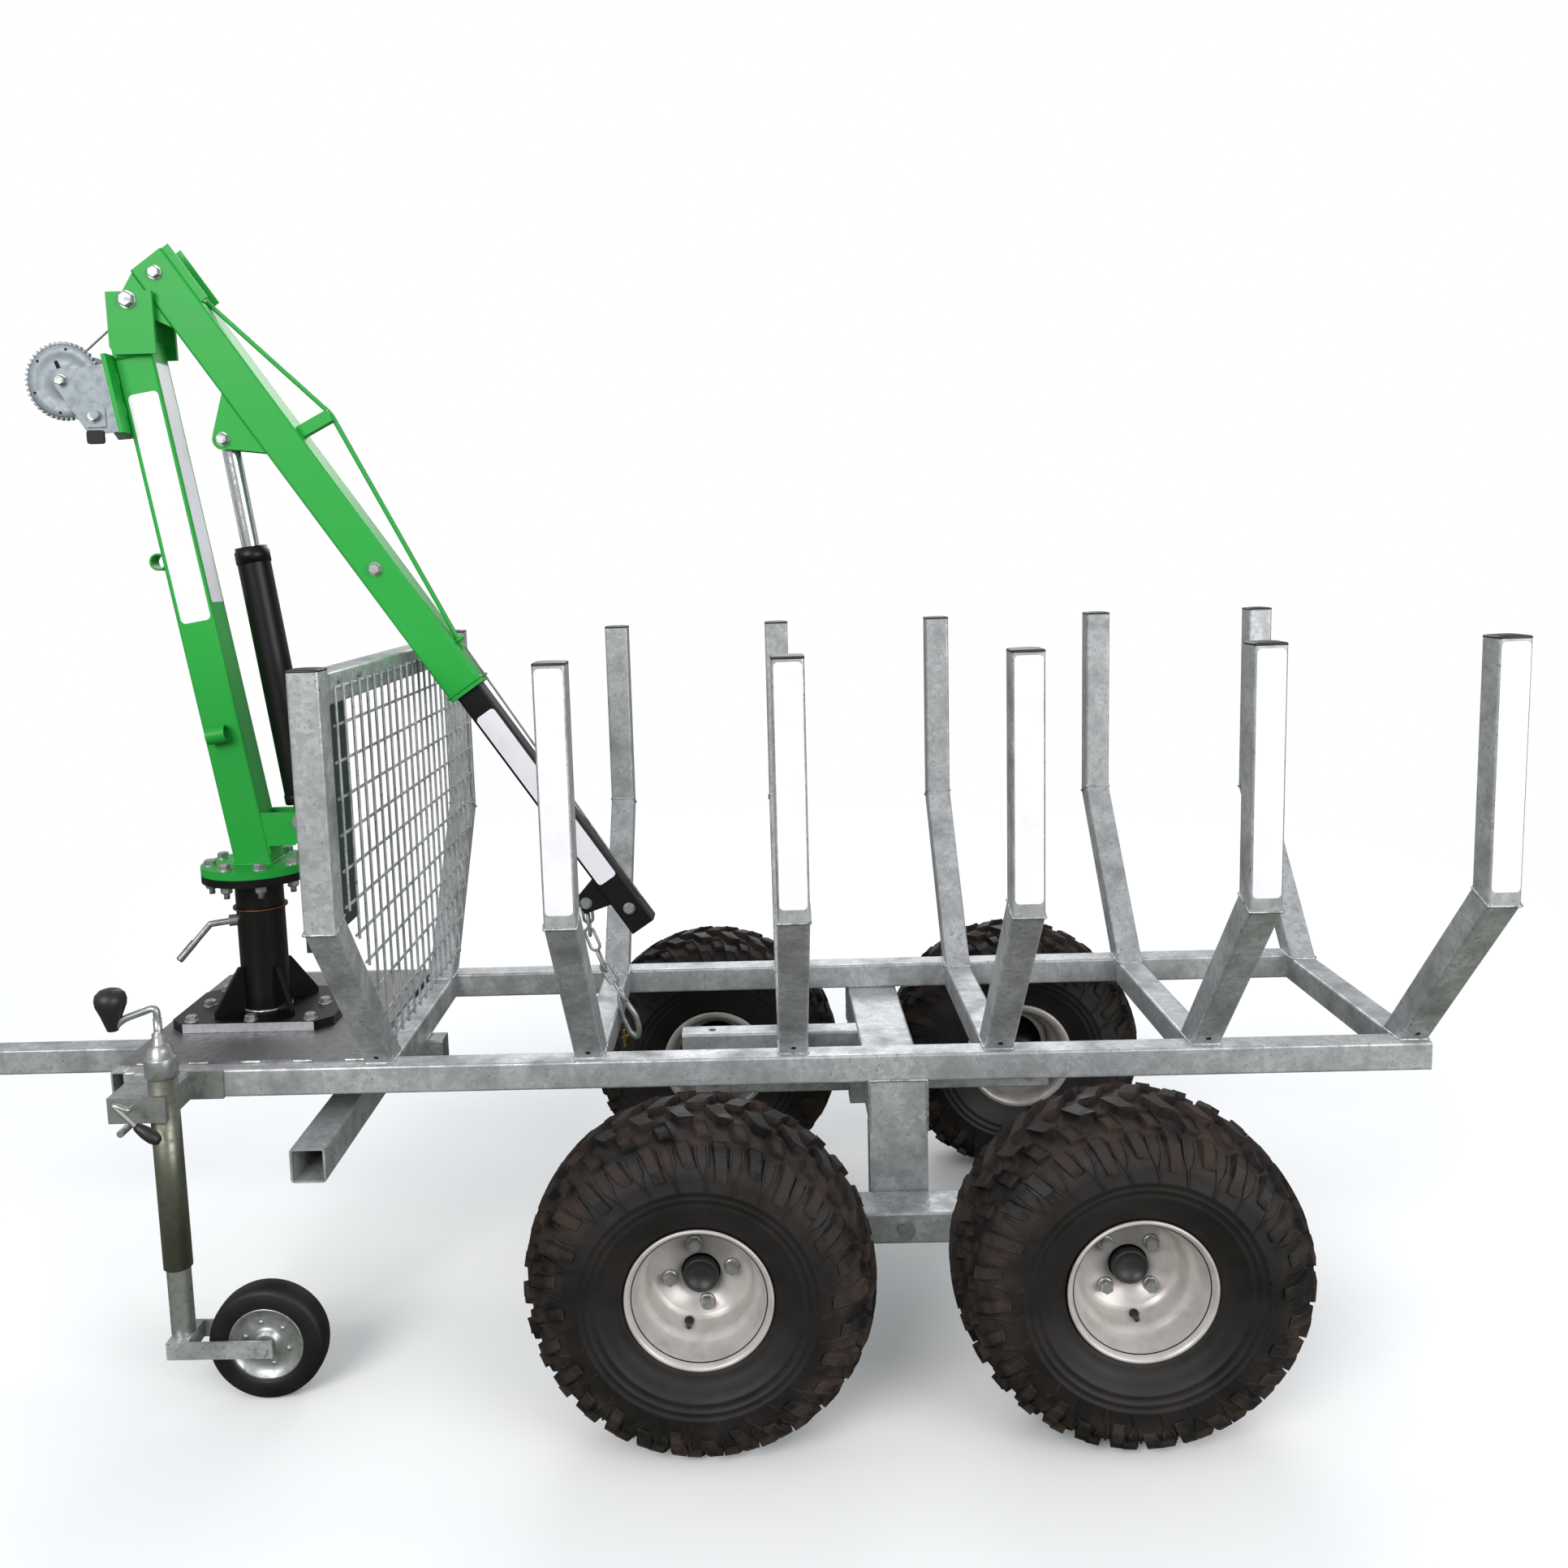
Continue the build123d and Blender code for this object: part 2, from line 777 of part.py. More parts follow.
def mast_brackets():
    half = mast_size / 2
    ear_inner = half + ear_gap
    ear = plate_xz(ear_outline(), ear_inner, ear_inner + ear_thick)
    ear += plate_xz(ear_foot(), half, ear_inner + 1)
    pin_half = ear_inner + ear_thick + 9
    pair = ear + mirror(ear, about=Plane.XZ)
    pair += cross_bar(*pivot, -pin_half, pin_half, pivot_bolt_radius)
    back = on_mast(0, half)
    foot_top = ram_foot[1] + bracket_height / 2 - 18
    foot_low = ram_foot[1] - bracket_height / 2 - 6
    reach = ram_foot[0] + 20

    def mast_back(z):
        return back[0] - (z - back[1]) * tan(radians(mast_lean))

    cheek = plate_xz(
        [
            (mast_back(foot_low), foot_low),
            (reach - 34, foot_low),
            (reach, foot_low + 34),
            (reach, foot_top),
            (mast_back(foot_top), foot_top),
        ],
        half - lug_thick,
        half,
    )
    cheeks = cheek + mirror(cheek, about=Plane.XZ)
    cheeks += cross_bar(*ram_foot, -half - 6, half + 6, ram_pin_radius)
    return [pair, cheeks, winch_pad(), *pipe_clips()]


def pipe_clips():
    """Two short tubes welded to the mast: one across its front, one along its near side."""
    away = mast_size / 2 + clip_radius - 1
    front = on_mast(clip_high, -away)
    upper = cross_bar(*front, -clip_long / 2, clip_long / 2, clip_radius)
    upper -= cross_bar(*front, -clip_long, clip_long, clip_radius - clip_wall)
    start = on_mast(clip_low, -clip_long / 2 - 3)
    end = on_mast(clip_low, clip_long / 2 - 3)
    ring = Circle(clip_radius) - Circle(clip_radius - clip_wall)
    lower = run((start[0], -away, start[1]), (end[0], -away, end[1]), ring)
    body = run((*on_mast(0, 0)[:1], 0, on_mast(0, 0)[1]), (*on_mast(mast_rise, 0)[:1], 0,
               on_mast(mast_rise, 0)[1]), Rectangle(mast_size, mast_size))
    return [upper - body, lower - body]


# Winch

def winch_place():
    up = (frame_top + winch_rise - mast_foot[1]) / mast_up[1]
    return up, on_mast(up, -mast_size / 2 - winch_ahead)


def winch_sides():
    """Y of the near cheek's inner face and of the far cheek's inner face."""
    return -winch_inside / 2 - 2 * gear_gap - gear_thick, winch_inside / 2


def slab_on_mast(low, high, front, back, y_low, y_high):
    """A flat plate on the mast's front, between two heights, two depths and two Y values."""
    corners = [on_mast(low, front), on_mast(high, front), on_mast(high, back), on_mast(low, back)]
    return plate_xz(corners, y_low, y_high)


def winch_pad():
    """The plate on the mast that carries the winch."""
    up = winch_place()[0]
    near, far = winch_sides()
    front = -mast_size / 2
    return slab_on_mast(
        up - winch_pad_low, up + winch_pad_high, front - winch_pad_thick, front,
        near - winch_plate_thick, far + winch_plate_thick,
    )


def winch_frame():
    up, centre = winch_place()
    near, far = winch_sides()
    seat = -mast_size / 2 - winch_pad_thick
    face = seat - winch_base_thick
    shaft_back = -mast_size / 2 - winch_ahead
    base = slab_on_mast(up - 106, up + 15, face, seat, near - winch_plate_thick, far + winch_plate_thick)
    outline = [
        on_mast(up + 15, face),
        on_mast(up + 16, shaft_back - 5),
        on_mast(up - 5, shaft_back - 14),
        on_mast(up - 101, shaft_back + 26),
        on_mast(up - 106, face),
    ]
    whole = base
    whole += plate_xz(outline, near - winch_plate_thick, near)
    whole += plate_xz(outline, far, far + winch_plate_thick)
    crank = on_mast(up - 70, shaft_back + 49)
    whole += cross_bar(*crank, near - winch_plate_thick - 12, far + winch_plate_thick + 40, 8)
    whole += cross_bar(*centre, near - winch_plate_thick - 8, far + winch_plate_thick + 6, 8)
    return [whole]


def winch_drum():
    up, centre = winch_place()
    side = winch_inside / 2 - 1
    drum = cross_bar(*centre, -side, side, drum_radius)
    for end in (-1, 1):
        face = end * side
        inner = face - end * 4
        drum += cross_bar(*centre, min(face, inner), max(face, inner), drum_flange_radius)
    drum -= cross_bar(*centre, -side - 1, side + 1, 8)
    near = -winch_inside / 2 - gear_gap
    gear = cross_bar(*centre, near - gear_thick, near, gear_radius)
    gear -= cross_bar(*centre, near - gear_thick - 1, near + 1, 8)
    return [drum, gear]


# Boom

def boom_run(start, end, section):
    low = on_boom(start, 0)
    high = on_boom(end, 0)
    return run((low[0], 0, low[1]), (high[0], 0, high[1]), section)


def boom_tube():
    whole = boom_run(0, boom_length, square(boom_size, boom_wall))
    bore = boom_size - 2 * boom_wall
    slot = extension_size + 2 * pad_gap
    pad = Rectangle(bore + 1, bore + 1) - Rectangle(slot, slot)
    whole += boom_run(boom_length - pad_length, boom_length, pad)
    foot = on_boom(guide_along, boom_size / 2 - boom_wall / 2)
    top = on_boom(guide_along + 8, boom_size / 2 + guide_rise)
    stub = run((foot[0], 0, foot[1]), (top[0], 0, top[1]), Rectangle(guide_wide, guide_wide))
    whole += stub
    return [whole]


def boom_brackets():
    plate_half = mast_size / 2 - knee_gap
    inner = plate_half - ear_thick
    under = -boom_size / 2
    points = [on_boom(4, under), on_boom(120, under)]
    for step in range(6):
        angle = radians(-60 - step * 32)
        x = pivot[0] + knee_radius * cos(angle)
        z = pivot[1] + knee_radius * sin(angle)
        points.append((x, z))
    knee = plate_xz(points, inner, plate_half)
    knee -= cross_bar(*pivot, 0, plate_half + 1, pivot_bolt_radius + running_gap)
    gap = lug_gap / 2
    lug_points = [on_boom(lug_along - lug_base / 2, under), on_boom(lug_along + lug_base / 2, under)]
    for step in range(6):
        angle = radians(-10 - boom_drop - step * 28)
        x = lug_pin[0] + lug_radius * cos(angle)
        z = lug_pin[1] + lug_radius * sin(angle)
        lug_points.append((x, z))
    lug = plate_xz(lug_points, gap, gap + lug_thick)
    lug -= cross_bar(*lug_pin, 0, gap + lug_thick + 1, ram_pin_radius)
    head = plate_guard()
    return both_sides(knee) + both_sides(lug) + [head]


def plate_guard():
    """The cover over the rope on top of the boom's head."""
    low = boom_size / 2
    section = Rectangle(boom_size - 12, guard_rise) - Pos(0, -guard_thick) * Rectangle(
        boom_size - 12 - 2 * guard_thick, guard_rise
    )
    start = on_boom(0, low + guard_rise / 2)
    end = on_boom(guard_length, low + guard_rise / 2)
    way = Vector(end[0] - start[0], 0, end[1] - start[1])
    plane = Plane(origin=(start[0], 0, start[1]), x_dir=(0, -1, 0), z_dir=way)
    return extrude(plane * section, amount=way.length)


def head_sheave():
    place = on_boom(head_sheave_along, 0)
    half = boom_size / 2 - boom_wall
    wheel = cross_bar(*place, -head_sheave_thick / 2, head_sheave_thick / 2, head_sheave_radius)
    wheel += cross_bar(*place, -half, half, 8)
    return [wheel]


def boom_extension():
    start = boom_length - extension_in
    end = boom_length + extension_out
    whole = boom_run(start, end, square(extension_size, extension_wall, corner=4))
    bore = boom_size - 2 * boom_wall - 2 * pad_gap
    pad = RectangleRounded(bore, bore, 2) - Rectangle(extension_size - 1, extension_size - 1)
    whole += boom_run(start, start + pad_length, pad)
    return [whole]


def tip_bracket():
    under = -extension_size / 2
    half = tip_bracket_long / 2
    points = [
        on_boom(tip_bracket_along - half, under),
        on_boom(tip_bracket_along + half, under),
        on_boom(tip_bracket_along + 16, under - tip_bracket_drop),
        on_boom(tip_bracket_along - 16, under - tip_bracket_drop),
    ]
    cheek = plate_xz(points, 10, 10 + tip_bracket_thick)
    bolt = on_boom(tip_bracket_along, under - tip_bracket_drop + 14)
    whole = cheek + mirror(cheek, about=Plane.XZ)
    whole += cross_bar(*bolt, -10 - tip_bracket_thick - 8, 10 + tip_bracket_thick + 8, tip_bolt_radius)
    return [whole]


def grab_hook():
    """Chain and hook as six-sided bars that hang from the tip's bolt."""
    bolt = on_boom(tip_bracket_along, -extension_size / 2 - tip_bracket_drop + 14)
    hung = [(0, -tip_bolt_radius - 1), chain_turn, hook_eye, hook_shoulder, hook_throat, hook_bottom]
    hung.append(hook_point)
    points = [Vector(bolt[0] + x, 0, bolt[1] + z) for x, z in hung]
    whole = None
    for count, (start, end) in enumerate(zip(points, points[1:])):
        radius = chain_bar_radius if count < 2 else hook_radius
        lap = (end - start).normalized() * radius * 0.5
        first = start if count == 0 else start - lap
        bar = run(first, end + lap, RegularPolygon(radius, 6))
        whole = bar if whole is None else whole + bar
    return [whole]


# Ram

def ram_point(along):
    return (ram_foot[0] + along * ram_dir[0], 0, ram_foot[1] + along * ram_dir[1])


def ram_barrel():
    barrel = rod(ram_point(barrel_start), ram_point(barrel_start + barrel_length), barrel_radius)
    hollow = rod(ram_point(barrel_start + 40), ram_point(barrel_start + barrel_length), barrel_radius - 6)
    gland = rod(
        ram_point(barrel_start + barrel_length - 30),
        ram_point(barrel_start + barrel_length),
        barrel_radius - 5,
    )
    gland -= rod(ram_point(barrel_start), ram_point(ram_length), rod_radius + running_gap)
    eye = cross_bar(*ram_foot, -eye_thick / 2, eye_thick / 2, eye_radius)
    shank = rod(ram_point(0), ram_point(barrel_start + 1), eye_radius - 2)
    whole = (barrel - hollow) + gland + eye + shank
    whole -= cross_bar(*ram_foot, -eye_thick, eye_thick, ram_pin_radius + running_gap)
    return [whole]


def ram_rod():
    stem = rod(ram_point(barrel_start + barrel_length - rod_hidden), ram_point(ram_length), rod_radius)
    eye = cross_bar(*lug_pin, -eye_thick / 2, eye_thick / 2, eye_radius)
    return [stem + eye]


# Jockey wheel

def jockey_clamp():
    z = frame_low + tube / 2
    low = z - clamp_tall / 2
    high = z + clamp_tall / 2
    x_range = (jockey_place - clamp_long + 15, jockey_place + 15)
    y_range = (jockey_y - jockey_tube_radius - 8, -frame_width / 2 - 6)
    grip = block(x_range, y_range, (low, high))
    plate = block(
        (jockey_place - clamp_long + 15, jockey_place + 70),
        (-frame_width / 2 - 6, -frame_width / 2),
        (frame_low, frame_top),
    )
    grip += plate
    grip += cross_bar(jockey_place - 50, low - 6, jockey_y - 60, jockey_y, 6)
    hole = rod((jockey_place, jockey_y, low - 1), (jockey_place, jockey_y, high + 1), jockey_tube_radius)
    return [grip - hole]


def jockey_outer_tube():
    centre = (jockey_place, jockey_y)
    whole = rod((*centre, jockey_tube_low), (*centre, jockey_tube_high), jockey_tube_radius)
    whole -= rod(
        (*centre, jockey_tube_low),
        (*centre, jockey_tube_high - 4),
        jockey_tube_radius - jockey_tube_wall,
    )
    cup_low = jockey_tube_high - 2
    cup_high = jockey_tube_high + 36
    whole += rod((*centre, cup_low), (*centre, cup_high), jockey_tube_radius + 3)
    spindle_top = jockey_tube_high + crank_rise
    whole += rod((*centre, cup_high), (*centre, spindle_top), 8)
    arm_end = (jockey_place - crank_reach, jockey_y, spindle_top - 6)
    whole += rod((jockey_place, jockey_y, spindle_top - 6), arm_end, 6)
    whole += rod((arm_end[0], jockey_y, spindle_top - 34), (arm_end[0], jockey_y, spindle_top + 38), 20)
    return [whole]


def jockey_inner_tube():
    centre = (jockey_place, jockey_y)
    arm_high = jockey_wheel_radius + jockey_arm_tall / 2
    tube_low = arm_high + fork_gap
    whole = rod((*centre, tube_low), (*centre, jockey_stem_top), jockey_inner_radius)
    whole -= rod((*centre, tube_low + 40), (*centre, jockey_stem_top), jockey_inner_radius - 3)
    whole += rod((*centre, arm_high - jockey_arm_tall + 2), (*centre, tube_low), fork_pin_radius)
    return [whole]


def jockey_fork():
    axle_z = jockey_wheel_radius
    axle_x = jockey_place + jockey_trail
    arm_low = axle_z - jockey_arm_tall / 2
    arm_high = axle_z + jockey_arm_tall / 2
    half = jockey_wheel_wide / 2 + 8
    outer = half + jockey_arm_thick
    arm = block((jockey_place, axle_x + 16), (jockey_y + half, jockey_y + outer), (arm_low, arm_high))
    far = Pos(0, -2 * half - jockey_arm_thick, 0) * arm
    bridge = block(
        (jockey_place - 16, jockey_place + 20),
        (jockey_y - outer, jockey_y + outer),
        (arm_low, arm_high),
    )
    whole = arm + far + bridge
    axle_half = outer + 6
    whole += cross_bar(axle_x, axle_z, jockey_y - axle_half, jockey_y + axle_half, jockey_axle_radius)
    whole -= rod(
        (jockey_place, jockey_y, arm_low),
        (jockey_place, jockey_y, arm_high),
        fork_pin_radius + running_gap,
    )
    return [whole]


def jockey_wheel():
    axle_x = jockey_place + jockey_trail
    half = jockey_wheel_wide / 2
    y_range = (jockey_y - half, jockey_y + half)
    z = jockey_wheel_radius
    whole = cross_bar(axle_x, z, *y_range, jockey_wheel_radius)
    for end in (-1, 1):
        face = jockey_y + end * half
        pocket = sorted((face, face - end * 14))
        whole -= cross_bar(axle_x, z, *pocket, 58) - cross_bar(axle_x, z, *pocket, 22)
    whole -= cross_bar(axle_x, z, y_range[0] - 1, y_range[1] + 1, jockey_axle_radius + running_gap)
    return [whole]


nodes = {
    "side_rails": side_rails(),
    "front_crossmember": front_crossmember(),
    "cross_tubes": cross_tubes(),
    "deck_plate": deck_plate(),
    "centre_beams": centre_beams(),
    "stabiliser_receiver": receiver_tube(),
    "coupling_head": coupling_head(),
    "stake_feet": stake_feet(),
    "stake_posts": stake_posts(),
    "stake_caps": stake_caps(),
    "headboard_rail": headboard_rail(),
    "headboard_mesh": headboard_mesh(),
    "saw_scabbards": saw_scabbards(),
    "axle_beam": axle_beam(),
    "axle_legs": axle_legs(),
    "walking_beams": walking_beams(),
    "bogie_pins": bogie_pins(),
    "crane_post": crane_post(),
    "slew_lock_lever": slew_lock_lever(),
    "slew_sleeve": slew_sleeve(),
    "mast_flange": mast_flange(),
    "mast": mast(),
    "mast_brackets": mast_brackets(),
    "winch_frame": winch_frame(),
    "winch_drum": winch_drum(),
    "boom_tube": boom_tube(),
    "boom_brackets": boom_brackets(),
    "head_sheave": head_sheave(),
    "boom_extension": boom_extension(),
    "tip_bracket": tip_bracket(),
    "grab_hook": grab_hook(),
    "ram_barrel": ram_barrel(),
    "ram_rod": ram_rod(),
    "jockey_clamp": jockey_clamp(),
    "jockey_outer_tube": jockey_outer_tube(),
    "jockey_inner_tube": jockey_inner_tube(),
    "jockey_fork": jockey_fork(),
    "jockey_wheel": jockey_wheel(),
}

for end_name, end in (("front", -1), ("rear", 1)):
    for side_name, side in (("left", -1), ("right", 1)):
        x = bogie_place + end * wheelbase / 2
        nodes[f"tyre_{end_name}_{side_name}"] = tyre(x, side * wheel_y)
        nodes[f"rim_{end_name}_{side_name}"] = rim(x, side * wheel_y)

os.makedirs("parts", exist_ok=True)
for name, solids in nodes.items():
    shape = solids[0] if len(solids) == 1 else Compound(children=list(solids))
    export_step(shape, f"parts/{name}.step")
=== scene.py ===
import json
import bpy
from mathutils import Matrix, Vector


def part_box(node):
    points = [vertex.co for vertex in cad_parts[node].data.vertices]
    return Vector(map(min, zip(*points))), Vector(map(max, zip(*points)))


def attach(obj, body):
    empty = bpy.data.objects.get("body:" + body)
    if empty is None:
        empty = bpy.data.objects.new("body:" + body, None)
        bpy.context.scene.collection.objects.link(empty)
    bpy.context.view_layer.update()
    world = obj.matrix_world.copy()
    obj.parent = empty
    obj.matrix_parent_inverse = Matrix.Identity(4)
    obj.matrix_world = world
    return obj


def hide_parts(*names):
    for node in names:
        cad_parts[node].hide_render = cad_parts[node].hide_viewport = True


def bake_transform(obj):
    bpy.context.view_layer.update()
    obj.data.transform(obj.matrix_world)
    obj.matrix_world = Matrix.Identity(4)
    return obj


bl_info = {
    "name": "Forestry crane trailer",
    "version": (1, 0, 0),
    "blender": (4, 5, 0),
    "location": "3D View > Sidebar > Trailer",
    "description": "Finishes the crane trailer with tyres, wires, chain, rope, fixings and surfaces",
    "category": "Object",
}

from math import atan2, cos, hypot, pi, radians, sin, tan

import bmesh
import bpy
from mathutils import Matrix, Vector

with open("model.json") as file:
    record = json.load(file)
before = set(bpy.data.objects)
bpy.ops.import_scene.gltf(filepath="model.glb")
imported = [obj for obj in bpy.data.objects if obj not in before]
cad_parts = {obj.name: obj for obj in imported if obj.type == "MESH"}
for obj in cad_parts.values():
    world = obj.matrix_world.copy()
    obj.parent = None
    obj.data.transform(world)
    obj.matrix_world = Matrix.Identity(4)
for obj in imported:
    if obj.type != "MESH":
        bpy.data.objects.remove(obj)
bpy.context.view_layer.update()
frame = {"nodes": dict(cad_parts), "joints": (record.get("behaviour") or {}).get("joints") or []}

mm = 0.001
nodes = frame["nodes"]
sides = (-1, 1)


def at(x, y, z):
    """A point given in millimetres."""
    return Vector((x * mm, y * mm, z * mm))


# Places taken from the model, in metres
wheel_places = {}
for end in ("front", "rear"):
    for side in ("left", "right"):
        low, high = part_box(f"tyre_{end}_{side}")
        wheel_places[f"{end}_{side}"] = (low + high) / 2
tyre_low, tyre_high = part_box("tyre_front_left")
narrow = (tyre_high.y - tyre_low.y) / (279 * mm)
rim_half = (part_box("rim_front_left")[1].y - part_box("rim_front_left")[0].y) / 2 / mm
disc_out = (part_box("bogie_pins")[1].y - wheel_places["front_right"].y) / mm
rail_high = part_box("side_rails")[1]
rail_top = rail_high.z
rail_face = rail_high.y
post_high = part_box("stake_posts")[1]
post_face = post_high.y
post_middle = post_face - 25 * mm
joints = {joint["name"]: joint for joint in frame["joints"]}
post_x = joints["slew"]["pos_m"][0]
pivot = Vector(joints["boom_lift"]["pos_m"])
ram_foot = Vector(joints["ram_pivot"]["pos_m"])
boom_drop = radians(56)
boom_dir = Vector((cos(boom_drop), 0, -sin(boom_drop)))
boom_up = Vector((sin(boom_drop), 0, cos(boom_drop)))
boom_head = pivot - 41.3 * mm * boom_dir + 66.3 * mm * boom_up
mast_lean = radians(9)
mast_up = Vector((-sin(mast_lean), 0, cos(mast_lean)))
mast_back = Vector((cos(mast_lean), 0, sin(mast_lean)))
flange_low, flange_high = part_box("mast_flange")
flange_x = (flange_low.x + flange_high.x) / 2
mast_foot = Vector((flange_x + 5 * mm, 0, flange_high.z))
low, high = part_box("winch_drum")
winch_near = low.y
winch_centre = Vector(((low.x + high.x) / 2, 0, (low.z + high.z) / 2))
stakes = [(x * mm, side) for x in (-367, 0, 355, 710, 1065, 1420) for side in sides]
foot_out = 270.6 * mm
rake = atan2(535 - 270.6, 304)
bend_z = rail_top + (304 + 25 * tan(rake / 2)) * mm


def linear(code):
    """An sRGB hex colour as linear red, green and blue."""
    parts = [int(code[place:place + 2], 16) / 255 for place in (0, 2, 4)]
    return [part / 12.92 if part <= 0.04045 else ((part + 0.055) / 1.055) ** 2.4 for part in parts]


def on_boom(along, above, across=0):
    """A point along the boom from its head, above its centre line, in millimetres."""
    return boom_head + along * mm * boom_dir + above * mm * boom_up + at(0, across, 0)


def on_mast(up, back, across=0):
    """A point up the mast from its foot, behind its centre line, in millimetres."""
    return mast_foot + up * mm * mast_up + back * mm * mast_back + at(0, across, 0)


def length(name, size, description):
    """A length property with its size in millimetres."""
    return bpy.props.FloatProperty(
        name=name, description=description, default=size * mm, unit="LENGTH")


def tone(name, code, description):
    """A colour property from an sRGB hex colour."""
    return bpy.props.FloatVectorProperty(
        name=name, description=description, subtype="COLOR", default=linear(code))


class TrailerSizes(bpy.types.PropertyGroup):
    """Sizes of the pieces that dress the trailer"""

    lug_count: bpy.props.IntProperty(
        name="Tread lugs", description="Lugs round one edge of a tyre", default=28, min=8, max=40)
    lug_depth: length("Tread depth", 13, "Height of the tread lugs")
    wire: length("Mesh wire", 5, "Thickness of the headboard wires")
    wire_pitch: length("Upright pitch", 43.5, "Distance between upright wires")
    wire_row: length("Row pitch", 57, "Distance between rows of the mesh")
    weld: length("Weld bead", 2.6, "Radius of the weld beads")
    bolt_head: length("Bolt head", 19, "Width across the flats of the flange bolts")
    chain_wire: length("Chain wire", 6, "Thickness of the chain's wire")
    rope: length("Winch rope", 4, "Thickness of the winch rope")
    decal: length("Sticker", 0.4, "Thickness of the blank stickers")


class TrailerColours(bpy.types.PropertyGroup):
    """Colours of the trailer's paints"""

    paint: tone("Crane green", "1FA03A", "Powder coat of the mast and boom")
    zinc: tone("Galvanised steel", "AEB0B2", "Hot-dip zinc of the frame")
    rubber: tone("Rubber", "0F0E0E", "Tyre rubber")
    mud: tone("Dried mud", "3B302A", "Soil left in the tread")
    rim: tone("Rim silver", "C2BCB8", "Silver paint of the rims")
    sticker: tone("Sticker", "EFECF4", "White of the blank stickers")


def add(tree, kind, inputs=None, **settings):
    """Add a node with its settings, values and links."""
    node = tree.nodes.new(kind)
    for name, value in settings.items():
        setattr(node, name, value)
    for name, value in (inputs or {}).items():
        if isinstance(value, bpy.types.NodeSocket):
            tree.links.new(value, node.inputs[name])
        else:
            node.inputs[name].default_value = value
    return node


def put(tree, kind, inputs=None, **settings):
    """The first output of a new node."""
    return add(tree, kind, inputs, **settings).outputs[0]


def maths(tree, operation, *values):
    """The result of a sum on numbers."""
    return put(tree, "ShaderNodeMath", dict(enumerate(values)), operation=operation)


def vectors(tree, operation, one, other):
    """The result of a sum on vectors; a scale takes a number second."""
    second = "Scale" if operation == "SCALE" else 1
    return put(tree, "ShaderNodeVectorMath", {0: one, second: other}, operation=operation)


def ranged(tree, value, **limits):
    """A value carried over to another range."""
    named = {name.replace("_", " ").title(): limit for name, limit in limits.items()}
    return put(tree, "ShaderNodeMapRange", {"Value": value, **named})


# Materials

def start_material(name, roughness, metallic=0.0):
    """A material with its shader, and Object coordinates for its patterns."""
    material = bpy.data.materials.new(name)
    material.use_nodes = True
    tree = material.node_tree
    shader = tree.nodes["Principled BSDF"]
    shader.inputs["Roughness"].default_value = roughness
    shader.inputs["Metallic"].default_value = metallic
    return material, tree, shader, add(tree, "ShaderNodeTexCoord").outputs["Object"]


def patches(tree, place, size, start, end, detail=4.0):
    """Soft patches of a size in millimetres, from 0 to 1."""
    cloud = put(tree, "ShaderNodeTexNoise", {"Vector": place, "Scale": 1000 / size, "Detail": detail})
    return ranged(tree, cloud, from_min=start, from_max=end)


def stain(tree, factor, below, other):
    """What lies below giving way to a colour by a factor."""
    mixed = add(tree, "ShaderNodeMix", {0: factor, 6: below, 7: (*other, 1)}, data_type="RGBA")
    return mixed.outputs[2]


def tint(tree, factor, one, other):
    """One colour giving way to another by a factor."""
    return stain(tree, factor, (*one, 1), other)


def relief(tree, shader, height, depth, strength):
    """Bump of a depth in millimetres."""
    bump = put(tree, "ShaderNodeBump", {"Height": height, "Distance": depth * mm, "Strength": strength})
    tree.links.new(bump, shader.inputs["Normal"])


def surface(name, roughness, metallic, base, other, cloud, grain=None):
    """A finish with stained patches, and a fine grain given by its patches, depth and strength."""
    material, tree, shader, place = start_material(name, roughness, metallic)
    dull = patches(tree, place, *cloud)
    tree.links.new(tint(tree, dull, base, other), shader.inputs["Base Color"])
    if grain:
        relief(tree, shader, patches(tree, place, *grain[0]), *grain[1:])
    return material, tree, shader, dull


def galvanised(colours):
    """Steel tube dipped in molten zinc: a flowery spangle, runs and dull patches."""
    material, tree, shader, place = start_material("galvanised_steel", 0.42, 0.45)
    spangle = add(tree, "ShaderNodeTexVoronoi", {"Vector": place, "Scale": 1000 / 9})
    grey = put(tree, "ShaderNodeSeparateColor", {"Color": spangle.outputs["Color"]})
    base = colours.zinc
    mixed = tint(tree, grey, base, [part * 1.35 for part in base])
    worn = patches(tree, place, 60, 0.42, 0.72, 8.0)
    mixed = stain(tree, worn, mixed, [part * 0.62 for part in base])
    mixed = stain(tree, patches(tree, place, 5, 0.60, 0.72, 6.0), mixed, linear("6E6A63"))
    tree.links.new(mixed, shader.inputs["Base Color"])
    tree.links.new(ranged(tree, worn, to_min=0.32, to_max=0.62), shader.inputs["Roughness"])
    relief(tree, shader, patches(tree, place, 14, 0.2, 0.8), 0.35, 0.5)
    return material


def powder_coat(name, paint, roughness):
    """Paint baked on steel: a glossy skin with a faint orange peel and a film of dust."""
    dusty = [part * 0.956 + 0.00264 for part in paint]
    material, _, shader, _ = surface(
        name, roughness, 0, paint, dusty, (90, 0.5, 0.85, 7.0), ((3, 0.2, 0.8, 1.0), 0.04, 0.2))
    shader.inputs["Specular IOR Level"].default_value = 0.3
    shader.inputs["Coat Weight"].default_value = 0.05
    shader.inputs["Coat Roughness"].default_value = 0.15
    return material


def plated(name, code, roughness, stained, metallic=0.85):
    """Electroplated steel: an even metal shine with dull, stained patches; also the pale strips of
    painted sky reflection on the crane base plate's edges.
    """
    material, tree, shader, dull = surface(
        name, roughness, metallic, linear(code), linear(stained), (12, 0.45, 0.75))
    rough = ranged(tree, dull, to_min=roughness, to_max=roughness + 0.2)
    tree.links.new(rough, shader.inputs["Roughness"])
    return material


